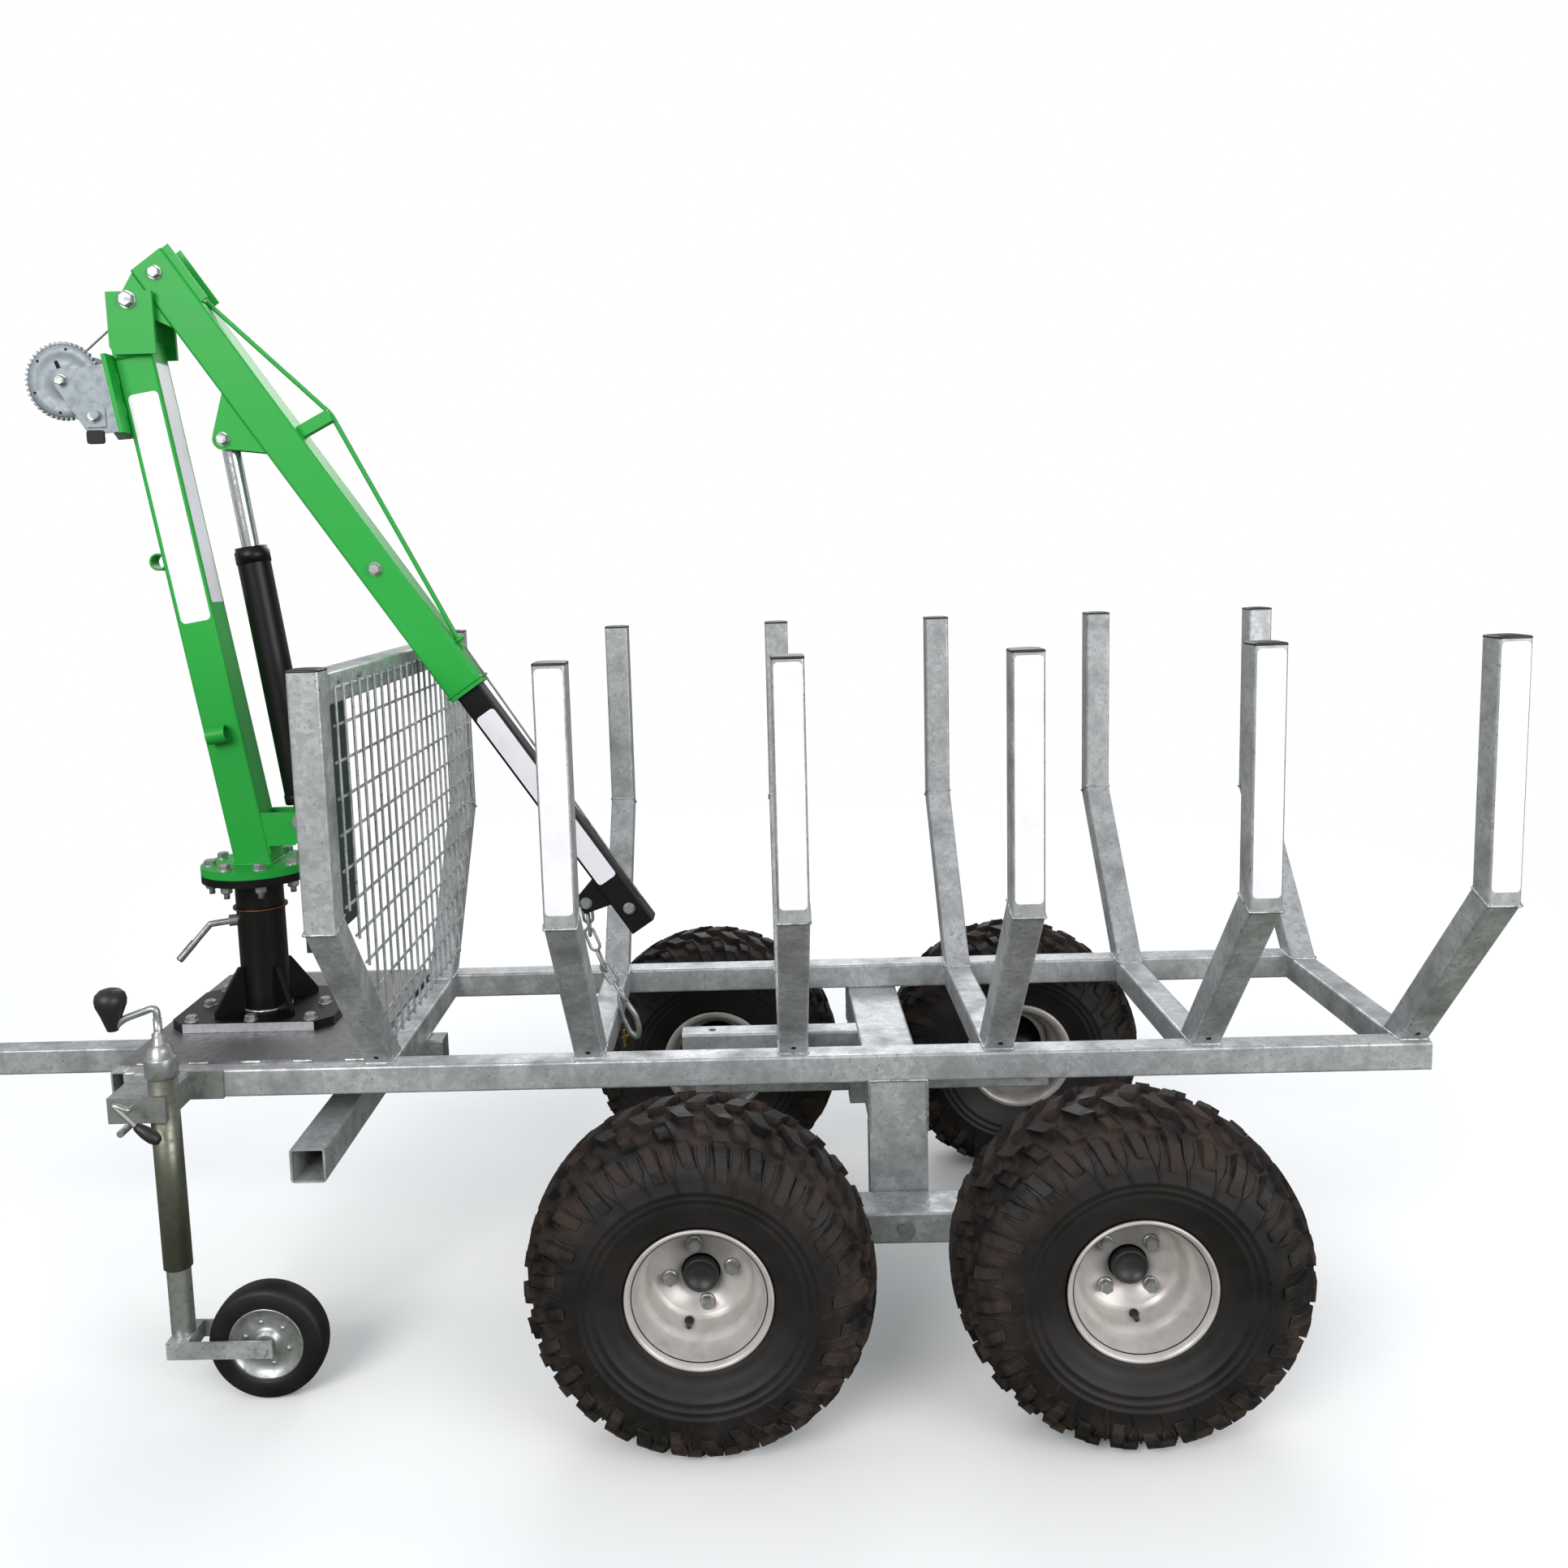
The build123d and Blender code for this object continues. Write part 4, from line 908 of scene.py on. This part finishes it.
class TRAILER_OT_rims(bpy.types.Operator):
    """Build the rims with their hubs, caps, bolts and valves"""

    bl_idname = "trailer.rims"
    bl_label = "Rims"

    def execute(self, context):
        first_bolt = {"front_left": 10, "rear_left": 45, "front_right": 25, "rear_right": 60}
        hub = [(15.1, -52), (42, -52), (44, -20), (44, 18), (66, 22), (66, 31.9), (15.1, 31.9)]
        cap = [(0, 35), (28.5, 35), (29, 48), (27.5, 51.5), (25.5, 52.5), (24, 51.5), (23, 47), (0, 46)]
        seat = [(0, 0), (13, 0), (12.5, 3), (10.5, 4.5), (0, 4.5)]
        valve = [(0, 0), (7.5, 0), (7.5, 5), (4.5, 8), (4, 20), (0, 20)]
        for key, centre in wheel_places.items():
            body = f"wheel_{key}"
            side = -1 if centre.y < 0 else 1
            shell = []
            for profile in (rim_outside, rim_inside):
                drawn = [(radius, rim_out(out)) for radius, out in profile]
                shell.append(turned_mesh(drawn, centre, "rim", 96, side))
            piece(f"rim_shell_{key}", shell, body, "rim_steel", f"rim_{key}")
            disc = centre + at(0, side * (disc_out - 36), 0)
            piece(f"hub_{key}", turned_mesh(hub, disc, "black", 48, side), body, "black_paint")
            piece(f"hub_cap_{key}", turned_mesh(cap, disc, "plastic", 48, side), body,
                  "black_plastic")
            start = radians(first_bolt[key])
            spot = disc + at(50 * cos(start), side * 36, 50 * sin(start))
            collar = turned_mesh(seat, spot, "zinc", 20, side)
            head = hexagon_bolt(spot + at(0, side * 4, 0), 19 * mm, 12 * mm, (0, side, 0),
                                washer=False)
            ring = grow("ring", join([collar, head]), "zinc", Count=4, Centre=centre, Axis=(0, 1, 0))
            piece(f"wheel_bolts_{key}", ring, body, "rim_steel")
            angle = radians(-105 if key == "front_left" else -85)
            spot = centre + at(80 * cos(angle), side * rim_out(44), 80 * sin(angle))
            piece(f"valve_{key}", turned_mesh(valve, spot, "plastic", 16, side), body,
                  "black_plastic")
        return {"FINISHED"}


def bend_ring(x, side):
    """Corners of a stake at its bend, as a closed line."""
    line = []
    for across, along in ((-1, -1), (-1, 1), (1, 1), (1, -1), (-1, -1)):
        y = side * post_middle + along * 25.3 * mm
        z = bend_z - (side * y - post_middle) * tan(rake / 2)
        line.append(Vector((x + across * 25.3 * mm, y, z)))
    return line


def foot_ring(x, side):
    """Corners of a stake where it meets the rail, as a closed line."""
    inner = foot_out - 50 * mm / cos(rake)
    z = rail_top + 0.6 * mm
    corners = [(-25.3, foot_out), (25.3, foot_out), (25.3, inner), (-25.3, inner), (-25.3, foot_out)]
    return [Vector((x + across * mm, side * y, z)) for across, y in corners]


def cap_mesh(spot):
    """A moulded end cap: a square brim with a low domed middle."""
    bm = bmesh.new()
    rings = []
    for half, rise, corner in ((25, 0, 5), (25.4, 1.2, 5), (25.2, 3.2, 5), (23.5, 4.2, 5),
                               (20, 4.6, 6), (12, 5.6, 6), (4, 6.0, 2)):
        outline = round_corners(half * 2, half * 2, corner, 4, 30)
        rings.append([bm.verts.new(spot + at(x, y, rise)) for x, y in outline])
    for one, two in zip(rings, rings[1:]):
        bridge(bm, one, two)
    bm.faces.new(rings[-1])
    bm.faces.new(list(reversed(rings[0])))
    bmesh.ops.recalc_face_normals(bm, faces=bm.faces)
    return mesh_of(bm, "plastic", True)


class TRAILER_OT_stakes(bpy.types.Operator):
    """Add the stakes' weld beads, dark discs of painted shade at the drain holes, blank stickers and
    domed caps
    """

    bl_idname = "trailer.stakes"
    bl_label = "Stakes"

    def execute(self, context):
        sizes = context.scene.trailer_sizes
        lines = [make(x, side) for x, side in stakes for make in (bend_ring, foot_ring)]
        weld("stake_welds", lines, sizes.weld * 0.8)
        stickers = []
        hole_shades = []
        caps = []
        low = bend_z + 12 * mm
        high = post_high.z - 4 * mm
        for x, side in stakes:
            middle = Vector((x, side * (post_face + 0.05 * mm), (low + high) / 2))
            if x > -0.1:
                stickers.append(side_plate(middle, side, 43, (high - low) / mm, 7, sizes.decal / mm,
                                           "vinyl"))
            slope = Vector((0, side * sin(rake), cos(rake)))
            out = Vector((0, side * cos(rake), -sin(rake)))
            spot = Vector((x, side * foot_out, rail_top)) + slope * 20 * mm
            # painted shade: a thin near-black disc on the foot stands in for the shade inside the drain
            # hole
            hole_shades.append(rounded_plate(spot, slope.cross(out), slope, 9, 9, 4.4, 0.3, "shadow"))
            caps.append(cap_mesh(Vector((x, side * post_middle, post_high.z))))
        piece("stake_stickers", stickers, "frame", "black_plastic")
        piece("drain_hole_shades", hole_shades, "frame", "black_plastic")
        piece("stake_caps_domed", caps, "frame", "black_plastic", "stake_caps")
        return {"FINISHED"}


class TRAILER_OT_headboard(bpy.types.Operator):
    """Weave the headboard's wires and add its screws"""

    bl_idname = "trailer.headboard"
    bl_label = "Headboard"

    def execute(self, context):
        sizes = context.scene.trailer_sizes
        low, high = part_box("headboard_mesh")
        levels = []
        z = high.z - sizes.wire / 2
        while z >= low.z:
            levels.append(z)
            z -= sizes.wire_row

        def reach(z):
            wide = post_middle
            if z < bend_z:
                wide = foot_out - 25 * mm / cos(rake) + (z - rail_top) * tan(rake)
            return wide // sizes.wire_pitch * sizes.wire_pitch

        wires = []
        x = low.x + sizes.wire * 0.5
        for z in levels:
            half = reach(z) + 4 * mm
            wires.append([(x, -half, z), (x, half, z)])
        x = low.x + sizes.wire * 1.3
        count = int(post_middle // sizes.wire_pitch)
        for place in range(-count, count + 1):
            y = place * sizes.wire_pitch
            met = [z for z in levels if reach(z) >= abs(y) - 1e-6]
            wires.append([(x, y, met[0] + 5 * mm), (x, y, met[-1] - 6 * mm)])
        bars = path_bars(wires, sizes.wire / 2 / mm, "galvanised", 8)
        piece("headboard_wires", bars, "frame", "galvanised", "headboard_mesh")
        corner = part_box("headboard_rail")[1]
        centres = [Vector((corner.x, y * mm, corner.z - 14 * mm)) for y in (-440, -330, 330, 440)]
        bolts("headboard_screws", "frame", centres, 10 * mm, 3 * mm, (1, 0, 0))
        return {"FINISHED"}


class TRAILER_OT_deck(bpy.types.Operator):
    """Add the deck's stitch welds and the crane base's bolts, weld, pale strips of painted sky
    reflection on its plate's edges, and bush
    """

    bl_idname = "trailer.deck"
    bl_label = "Deck and crane base"

    def execute(self, context):
        sizes = context.scene.trailer_sizes
        low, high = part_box("deck_plate")
        stitches = []
        z = high.z - 3 * mm
        for y in (low.y, high.y):
            for place in range(5):
                x = low.x + (30 + place * 92) * mm
                stitches.append([(x, y, z), (x + 34 * mm, y, z)])
        foot = Vector((post_x, 0, high.z + 18 * mm))
        stitches.append(circle(45.5, 48, lambda a, b: foot + at(a, b, 0)))
        weld("deck_welds", stitches, sizes.weld)
        centres = [foot + at(x, y, 0) for y in (-91, 0, 91) for x in (-112, 0, 112) if x or y]
        bolts("base_bolts", "frame", centres, sizes.bolt_head, 9 * mm, (0, 0, 1))
        # painted reflection: thin pale strips on the base plate's two long edges stand in for the sky
        # reflected there
        edges = [side_plate(foot + at(0, side * 108.05, -9), side, 246, 17, 1, 0.3, "edge_reflection")
                 for side in sides]
        piece("base_plate_edge_reflections", edges, "frame", "galvanised")
        bush = [(50.05, 768.2), (50.4, 768.2), (50.4, 771.8), (50.05, 771.8)]
        made = turned_mesh(bush, (post_x, 0, 0), "copper", 48, axis="Z")
        piece("bearing_bush", made, "frame", "bright_zinc")
        return {"FINISHED"}


class TRAILER_OT_crane(bpy.types.Operator):
    """Add the slewing head's bolts, the mast's welds, its sticker, a white plate of painted sky
    reflection on its rear face, and pivot bolts
    """

    bl_idname = "trailer.crane"
    bl_label = "Crane mast"

    def execute(self, context):
        sizes = context.scene.trailer_sizes
        centre = Vector((flange_x, 0, flange_high.z))
        head = hexagon_bolt(centre + at(0, 84, 0), sizes.bolt_head, 10 * mm, (0, 0, 1))
        under = centre + at(0, 84, -30)
        nut = hexagon_bolt(under, sizes.bolt_head, 12 * mm, (0, 0, -1))
        shank = turned_mesh([(0, 0), (5.5, 0), (5.5, -24), (0, -24)], under, "zinc", 14,
                            axis="Z")
        ring = grow("ring", join([head, nut, shank]), "zinc", Count=8, Centre=centre,
                    Axis=(0, 0, 1), Start=0.39)
        piece("flange_bolts", ring, "mast", "bright_zinc")
        corners = ((-36, -36), (-36, 36), (36, 36), (36, -36), (-36, -36))
        lines = [[mast_foot + at(back, across, 1) for back, across in corners]]
        for side in sides:
            lines.append([on_mast(952, -30, side * 36), on_mast(952, 30, side * 36)])
            lines.append([on_mast(14, 36, side * 33), on_mast(88, 36, side * 33)])
        for up in (852, 906):
            lines.append([on_mast(up, -36, -36), on_mast(up + 22, -36, -36)])
        weld("mast_welds", lines, sizes.weld, "mast", "green", "green_paint")
        thick = sizes.decal / mm
        near = rounded_plate(on_mast(675, 2, -35.05), mast_back, mast_up, 56, 420, 9, thick, "vinyl")
        # painted reflection: a white vinyl plate on the mast's rear face stands in for the sky
        # reflected there
        rear = rounded_plate(on_mast(715, 35.05), (0, 1, 0), mast_up, 52, 440, 4, thick, "vinyl")
        piece("mast_sticker_and_reflection", [near, rear], "mast", "black_plastic")
        centres = [spot + at(0, side * across, 0) for side in sides
                   for spot, across in ((pivot, 49), (ram_foot, 35))]
        bolts("mast_pivot_bolts", "mast", centres, 24 * mm, 10 * mm)
        return {"FINISHED"}


def gear_tooth(centre):
    """One tooth of the winch gear."""
    bm = bmesh.new()
    grid = []
    for radius, half in ((63, 3.1), (66, 2.4), (69, 1.3)):
        for y in (-5, 5):
            for side in sides:
                grid.append(bm.verts.new(centre + at(side * half, y, radius)))
    for low in (0, 4):
        a, b, c, d = grid[low:low + 4]
        e, f, g, h = grid[low + 4:low + 8]
        for face in ((a, b, f, e), (c, g, h, d), (a, e, g, c), (b, d, h, f)):
            bm.faces.new(face)
    a, b, c, d = grid[8:12]
    bm.faces.new((a, b, d, c))
    bmesh.ops.recalc_face_normals(bm, faces=bm.faces)
    return mesh_of(bm, "blue_zinc")


class TRAILER_OT_winch(bpy.types.Operator):
    """Build the winch's drum, gear and wound rope"""

    bl_idname = "trailer.winch"
    bl_label = "Winch"

    def execute(self, context):
        centre = winch_centre
        drum = [(8.2, -47), (56, -47), (56, -44), (27, -43), (27, 43), (56, 44), (56, 47), (8.2, 47)]
        body = turned_mesh(drum, centre, "blue_zinc")
        coil = []
        for layer, radius in enumerate((29, 32.5, 36)):
            for place in range(20 - layer):
                out = -39 + layer * 2 + place * 4.0
                coil.append(circle(radius, 24, lambda a, b: centre + at(a, out, b)))
        rope = path_bars(coil, 2, "rope", 6)
        near = Vector((centre.x, winch_near + 5 * mm, centre.z))
        web = [(8.2, -4), (14, -5), (22, -5), (24, -2.5), (44, -2.5), (48, -5), (64, -5), (64, 5),
               (48, 5), (44, 2.5), (24, 2.5), (8.2, 4)]
        plate = turned_mesh(web, near, "blue_zinc", 72)
        teeth = grow("ring", gear_tooth(near), "blue_zinc", Count=46, Centre=near, Axis=(0, 1, 0))
        parts = [body, plate, teeth]
        # painted shade: thin near-black plates on the gear's web stand in for the shade inside its slot
        # and six holes
        parts.append(rounded_plate(near + at(-8, -2.6, 26), (0.94, 0, 0.34), (-0.34, 0, 0.94), 7, 22,
                                   3, 0.3, "shadow"))
        for step in range(6):
            angle = radians(60 * step + 20)
            spot = near + at(56 * cos(angle), -5.1, 56 * sin(angle))
            parts.append(side_plate(spot, -1, 5, 5, 2.4, 0.2, "shadow"))
        piece("winch_drum_and_gear", parts, "mast", "bright_zinc", "winch_drum")
        piece("wound_rope", rope, "mast", "bright_zinc")
        seat = on_mast(852, -77, -67)
        piece("winch_fittings", [
            hexagon_bolt(Vector((centre.x, -67 * mm, centre.z)), 17 * mm, 8 * mm, (0, -1, 0)),
            side_plate(seat, -1, 36, 33, 2, 3, "blue_zinc"),
            hexagon_bolt(seat + at(-3, -3, 2), 17 * mm, 7 * mm, (0, -1, 0)),
            side_plate(seat + at(-2, 0, -34), -1, 31, 24, 5, 6, "black"),
        ], "mast", "bright_zinc")
        return {"FINISHED"}


class TRAILER_OT_rope(bpy.types.Operator):
    """Lead the taut winch rope over the boom's head and along its top to the tip"""

    bl_idname = "trailer.rope"
    bl_label = "Winch rope"

    def execute(self, context):
        radius = context.scene.trailer_sizes.rope / 2 / mm
        leave = winch_centre + at(-18, 0, 31.32)
        sheave = on_boom(30, 37)
        first = [leave.lerp(sheave, step / 12) for step in range(13)]
        made = piece("rope_to_head", path_bars([first], radius, "rope", 8), None, "bright_zinc")
        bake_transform(made)
        eye = on_boom(866, 41)
        second = rounded_path([sheave, on_boom(110, 38, 7), on_boom(398, 99.5, 7), eye], 8 * mm)
        piece("rope_to_eye", path_bars([second], radius, "rope", 8), "boom", "bright_zinc")
        tip = on_boom(1460, 27.5)
        third = [eye.lerp(tip, step / 40) for step in range(41)]
        made = piece("rope_to_tip", path_bars([third], radius, "rope", 8), None, "bright_zinc")
        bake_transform(made)
        return {"FINISHED"}


class TRAILER_OT_boom(bpy.types.Operator):
    """Add the boom's bolts, welds, rope guide and blank sticker"""

    bl_idname = "trailer.boom"
    bl_label = "Boom"

    def execute(self, context):
        sizes = context.scene.trailer_sizes
        centres = [on_boom(along, above, side * across) for side in sides
                   for along, above, across in ((28, 0, 35), (676, 0, 35), (327.5, -83.5, 31))]
        bolts("boom_bolts", "boom", centres, sizes.bolt_head, 9 * mm)
        centres = [on_boom(1462, 0, side * 25) for side in sides]
        bolts("tip_bolts", "extension", centres, 17 * mm, 8 * mm)
        plate = rounded_plate(on_boom(1200, 0, -25.05), boom_dir, boom_up, 390, 40, 7,
                              sizes.decal / mm, "vinyl")
        piece("boom_sticker", plate, "extension", "black_plastic")
        corners = ((-35, -35), (-35, 35), (35, 35), (35, -35), (-35, -35))
        lines = [[on_boom(945, up * 1.02, across * 1.02) for up, across in corners]]
        for side in sides:
            lines.append([on_boom(270, -36, side * 27), on_boom(385, -36, side * 27)])
            lines.append([on_boom(8, -36, side * 30), on_boom(116, -36, side * 30)])
        weld("boom_welds", lines, sizes.weld, "boom", "green", "green_paint")
        stay = rounded_path([on_boom(100, 34), on_boom(396, 97), on_boom(404, 97), on_boom(884, 36)],
                            10 * mm)
        eye = circle(7, 20, lambda a, b: on_boom(866, 41 + a, b))
        piece("boom_stay", path_bars([stay, eye], 4, "green"), "boom", "green_paint")
        return {"FINISHED"}


class TRAILER_OT_hook(bpy.types.Operator):
    """Hang the chain and hook from the boom's tip"""

    bl_idname = "trailer.hook"
    bl_label = "Chain and hook"

    def execute(self, context):
        link = []
        for centre, start in ((14, 0), (-14, 180)):
            for step in range(7):
                angle = radians(start + step * 30)
                link.append(at(9 * cos(angle), 0, centre + 9 * sin(angle)))
        wire = context.scene.trailer_sizes.chain_wire / 2 / mm
        base = path_bars([link + [link[0]]], wire, "zinc", 8)
        parts = []
        for start, end in (((-27, 742), (-25, 716)), ((-20, 686), (-4, 644)), ((10, 618), (30, 582))):
            parts.append(grow("chain", base, "zinc", Count=2, Start=at(start[0], 0, start[1]),
                              End=at(end[0], 0, end[1])))
        outline = rounded_path([at(x, 0, z) for x, z in (
            (30, 588), (37, 566), (58, 532), (64, 505), (60, 488), (46, 498), (32, 530), (28, 566),
            (30, 588))], 6 * mm)
        parts.append(path_bars([outline], 5.5, "zinc"))
        parts.append(path_bars([[at(34, 0, 504), at(34, 0, 470)]], 2.5, "brass", 8))
        parts.append(path_bars([[at(29, 0, 488), at(44, 0, 494)]], 3.5, "brass", 8))
        centres = [on_boom(1408, -63, side * 16) for side in sides]
        bolts("tip_bracket_bolts", "extension", centres, 17 * mm, 7 * mm)
        piece("chain_and_hook", parts, "extension", "bright_zinc", "grab_hook")
        return {"FINISHED"}


class TRAILER_OT_ram(bpy.types.Operator):
    """Add the lift ram's gland, ports and bands"""

    bl_idname = "trailer.ram"
    bl_label = "Lift ram"

    def execute(self, context):
        place = Matrix.Translation(ram_foot) @ pointing(joints["ram_stroke"]["axis"])
        gland = [(17, 490), (31.5, 490), (31.5, 512), (29, 514), (29, 520), (17, 520)]
        band = [(29, 34), (31.5, 36), (31.5, 52), (29, 54)]
        port = [(0, 26), (9, 26), (9, 38), (7, 40), (0, 40)]
        parts = []
        for profile in (gland, band):
            parts.append(turned_mesh(profile, (0, 0, 0), "black", 48, axis="Z"))
        for along in (70, 470):
            made = turned_mesh(port, (0, 0, 0), "zinc", 16, axis="Z")
            made.transform(Matrix.Translation((0, 0, along * mm)) @ Matrix.Rotation(-pi / 2, 4, "Y"))
            parts.append(made)
        for part in parts:
            part.transform(place)
        piece("ram_fittings", parts, "ram_barrel", "black_paint")
        return {"FINISHED"}


class TRAILER_OT_jockey(bpy.types.Operator):
    """Build the jockey wheel's tube, crank, knobs, tyre and hub"""

    bl_idname = "trailer.jockey"
    bl_label = "Jockey wheel"

    def execute(self, context):
        low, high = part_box("jockey_inner_tube")
        foot = Vector(((low.x + high.x) / 2, (low.y + high.y) / 2, 0))
        tube = [(21.2, 235), (24, 235), (24, 572), (21.2, 572)]
        cup = [(0, 572), (25, 572), (27, 575), (27, 604), (26, 607), (22, 609), (20, 621),
               (15, 628), (11, 631), (11, 646), (8, 648), (7, 652), (7, 672), (0, 672)]
        knob = [(0, 652), (9, 653), (12, 662), (18, 680), (25, 697), (26, 706), (24, 715), (17, 722),
                (8, 725), (0, 725)]
        arm = rounded_path([foot + at(*point) for point in (
            (0, 0, 640), (0, 0, 692), (-58, 0, 672), (-76, 0, 655))], 12 * mm)
        piece("jockey_tube_and_crank", [
            turned_mesh(tube, foot, "yellow", 48, axis="Z"),
            turned_mesh(cup, foot, "zinc", 48, axis="Z"),
            path_bars([arm], 6, "zinc"),
            turned_mesh(knob, foot - at(76, 0, 0), "plastic", 32, axis="Z"),
        ], "frame", "yellow_zinc", "jockey_outer_tube")
        low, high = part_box("jockey_wheel")
        hub = (low + high) / 2
        tyre = [(62, -20), (70, -24.5), (90, -24.5), (97, -21), (99.5, -12), (100, 0), (99.5, 12),
                (97, 21), (90, 24.5), (70, 24.5), (62, 20)]
        disc = [(8.1, -22), (20, -22), (22, -16), (28, -13), (56, -13), (60, -20), (64, -22),
                (64, -19), (60, -14), (56, -9), (56, 9), (60, 14), (64, 19), (64, 22), (60, 20),
                (56, 13), (28, 13), (22, 16), (20, 22), (8.1, 22)]
        rivet = turned_mesh([(0, 0), (5, 0), (4, -3), (0, -4)], hub + at(38, -13, 0), "zinc",
                            12)
        piece("jockey_wheel_dressed", [
            turned_mesh(tyre, hub, "rubber", 72),
            turned_mesh(disc, hub, "zinc", 72),
            grow("ring", rivet, "zinc", Count=6, Centre=hub, Axis=(0, 1, 0), Start=0.3),
        ], "jockey_wheel", "tyre_rubber", "jockey_wheel")
        clamp = Vector((foot.x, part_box("jockey_clamp")[0].y, 0))
        screw = clamp + at(-27, 4, 542)
        bend = clamp + at(-52, -12, 552)
        joint = clamp + at(-16, -15, 517)
        end = clamp + at(22, -15, 489)
        lever = rounded_path([screw, Vector((screw.x, bend.y, screw.z)), bend, joint], 6 * mm)
        grip = []
        for part, radius in ((0, 6), (0.12, 8), (0.4, 10.5), (0.7, 11), (0.9, 9), (1, 5)):
            grip.append((radius, part * (end - joint).length / mm))
        profile = [(0, 0)] + grip + [(0, grip[-1][1])]
        handle = turned_mesh(profile, (0, 0, 0), "plastic", 24, axis="Z")
        handle.transform(Matrix.Translation(joint) @ pointing(end - joint))
        piece("clamp_handle", [path_bars([lever], 5, "zinc"), handle], "frame", "black_plastic")
        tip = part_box("slew_lock_lever")[0]
        made = path_bars([[tip + at(2, 8, 2), tip + at(30, 16, 34)]], 7, "plastic")
        piece("lever_tip", made, "frame", "black_plastic")
        return {"FINISHED"}


class TRAILER_OT_bogie(bpy.types.Operator):
    """Add the bogie's welds, end caps, pivot nuts and the blank plates"""

    bl_idname = "trailer.bogie"
    bl_label = "Bogie"

    def execute(self, context):
        low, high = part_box("axle_legs")
        lines = []
        for side in sides:
            y = side * (rail_face + 5 * mm)
            foot = high.z - 92 * mm
            lines.append([(low.x, y, high.z), (high.x, y, high.z), (high.x, y, foot)])
            lines.append([(low.x, y, high.z), (low.x, y, foot)])
        weld("bogie_welds", lines, context.scene.trailer_sizes.weld)
        low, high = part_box("walking_beams")
        middle = (low + high) / 2
        centres = [Vector((middle.x, side * high.y, middle.z)) for side in sides]
        bolts("pivot_nuts", "frame", centres, 4 * mm, 2 * mm)
        ends = []
        for x, way in ((low.x, -1), (high.x, 1)):
            for side in sides:
                spot = Vector((x + way * 0.1 * mm, side * (high.y - 42 * mm), middle.z))
                ends.append(rounded_plate(spot, (0, -way, 0), (0, 0, 1), 80, 51, 5, 3, "plastic"))
        piece("beam_end_caps", ends, "frame", "black_plastic")
        plates = []
        for side in sides:
            spot = Vector((middle.x, side * (rail_face + 5.05 * mm), 456 * mm))
            plates.append(side_plate(spot, side, 62, 62, 8, 0.8, "galvanised"))
        piece("blank_plates", plates, "frame", "galvanised")
        return {"FINISHED"}


class TRAILER_PT_panel(bpy.types.Panel):
    """Lists the sizes, the colours and the steps that dress the trailer"""

    bl_idname = "TRAILER_PT_panel"
    bl_label = "Crane trailer"
    bl_space_type = "VIEW_3D"
    bl_region_type = "UI"
    bl_category = "Trailer"

    def draw(self, context):
        for group in (context.scene.trailer_sizes, context.scene.trailer_colours):
            for name in group.bl_rna.properties.keys():
                if name not in ("name", "rna_type"):
                    self.layout.prop(group, name)
        for step in steps:
            self.layout.operator(step.bl_idname)


steps = (
    TRAILER_OT_materials, TRAILER_OT_stage, TRAILER_OT_tyres, TRAILER_OT_rims, TRAILER_OT_stakes,
    TRAILER_OT_headboard, TRAILER_OT_deck, TRAILER_OT_crane, TRAILER_OT_winch, TRAILER_OT_rope,
    TRAILER_OT_boom, TRAILER_OT_hook, TRAILER_OT_ram, TRAILER_OT_jockey, TRAILER_OT_bogie,
)
classes = (TrailerSizes, TrailerColours, *steps, TRAILER_PT_panel)


def register():
    for kind in classes:
        bpy.utils.register_class(kind)
    bpy.types.Scene.trailer_sizes = bpy.props.PointerProperty(type=TrailerSizes)
    bpy.types.Scene.trailer_colours = bpy.props.PointerProperty(type=TrailerColours)


def unregister():
    del bpy.types.Scene.trailer_colours
    del bpy.types.Scene.trailer_sizes
    for kind in reversed(classes):
        bpy.utils.unregister_class(kind)


def main():
    register()
    for step in steps:
        group, name = step.bl_idname.split(".")
        getattr(getattr(bpy.ops, group), name)()


if __name__ == "__main__":
    main()
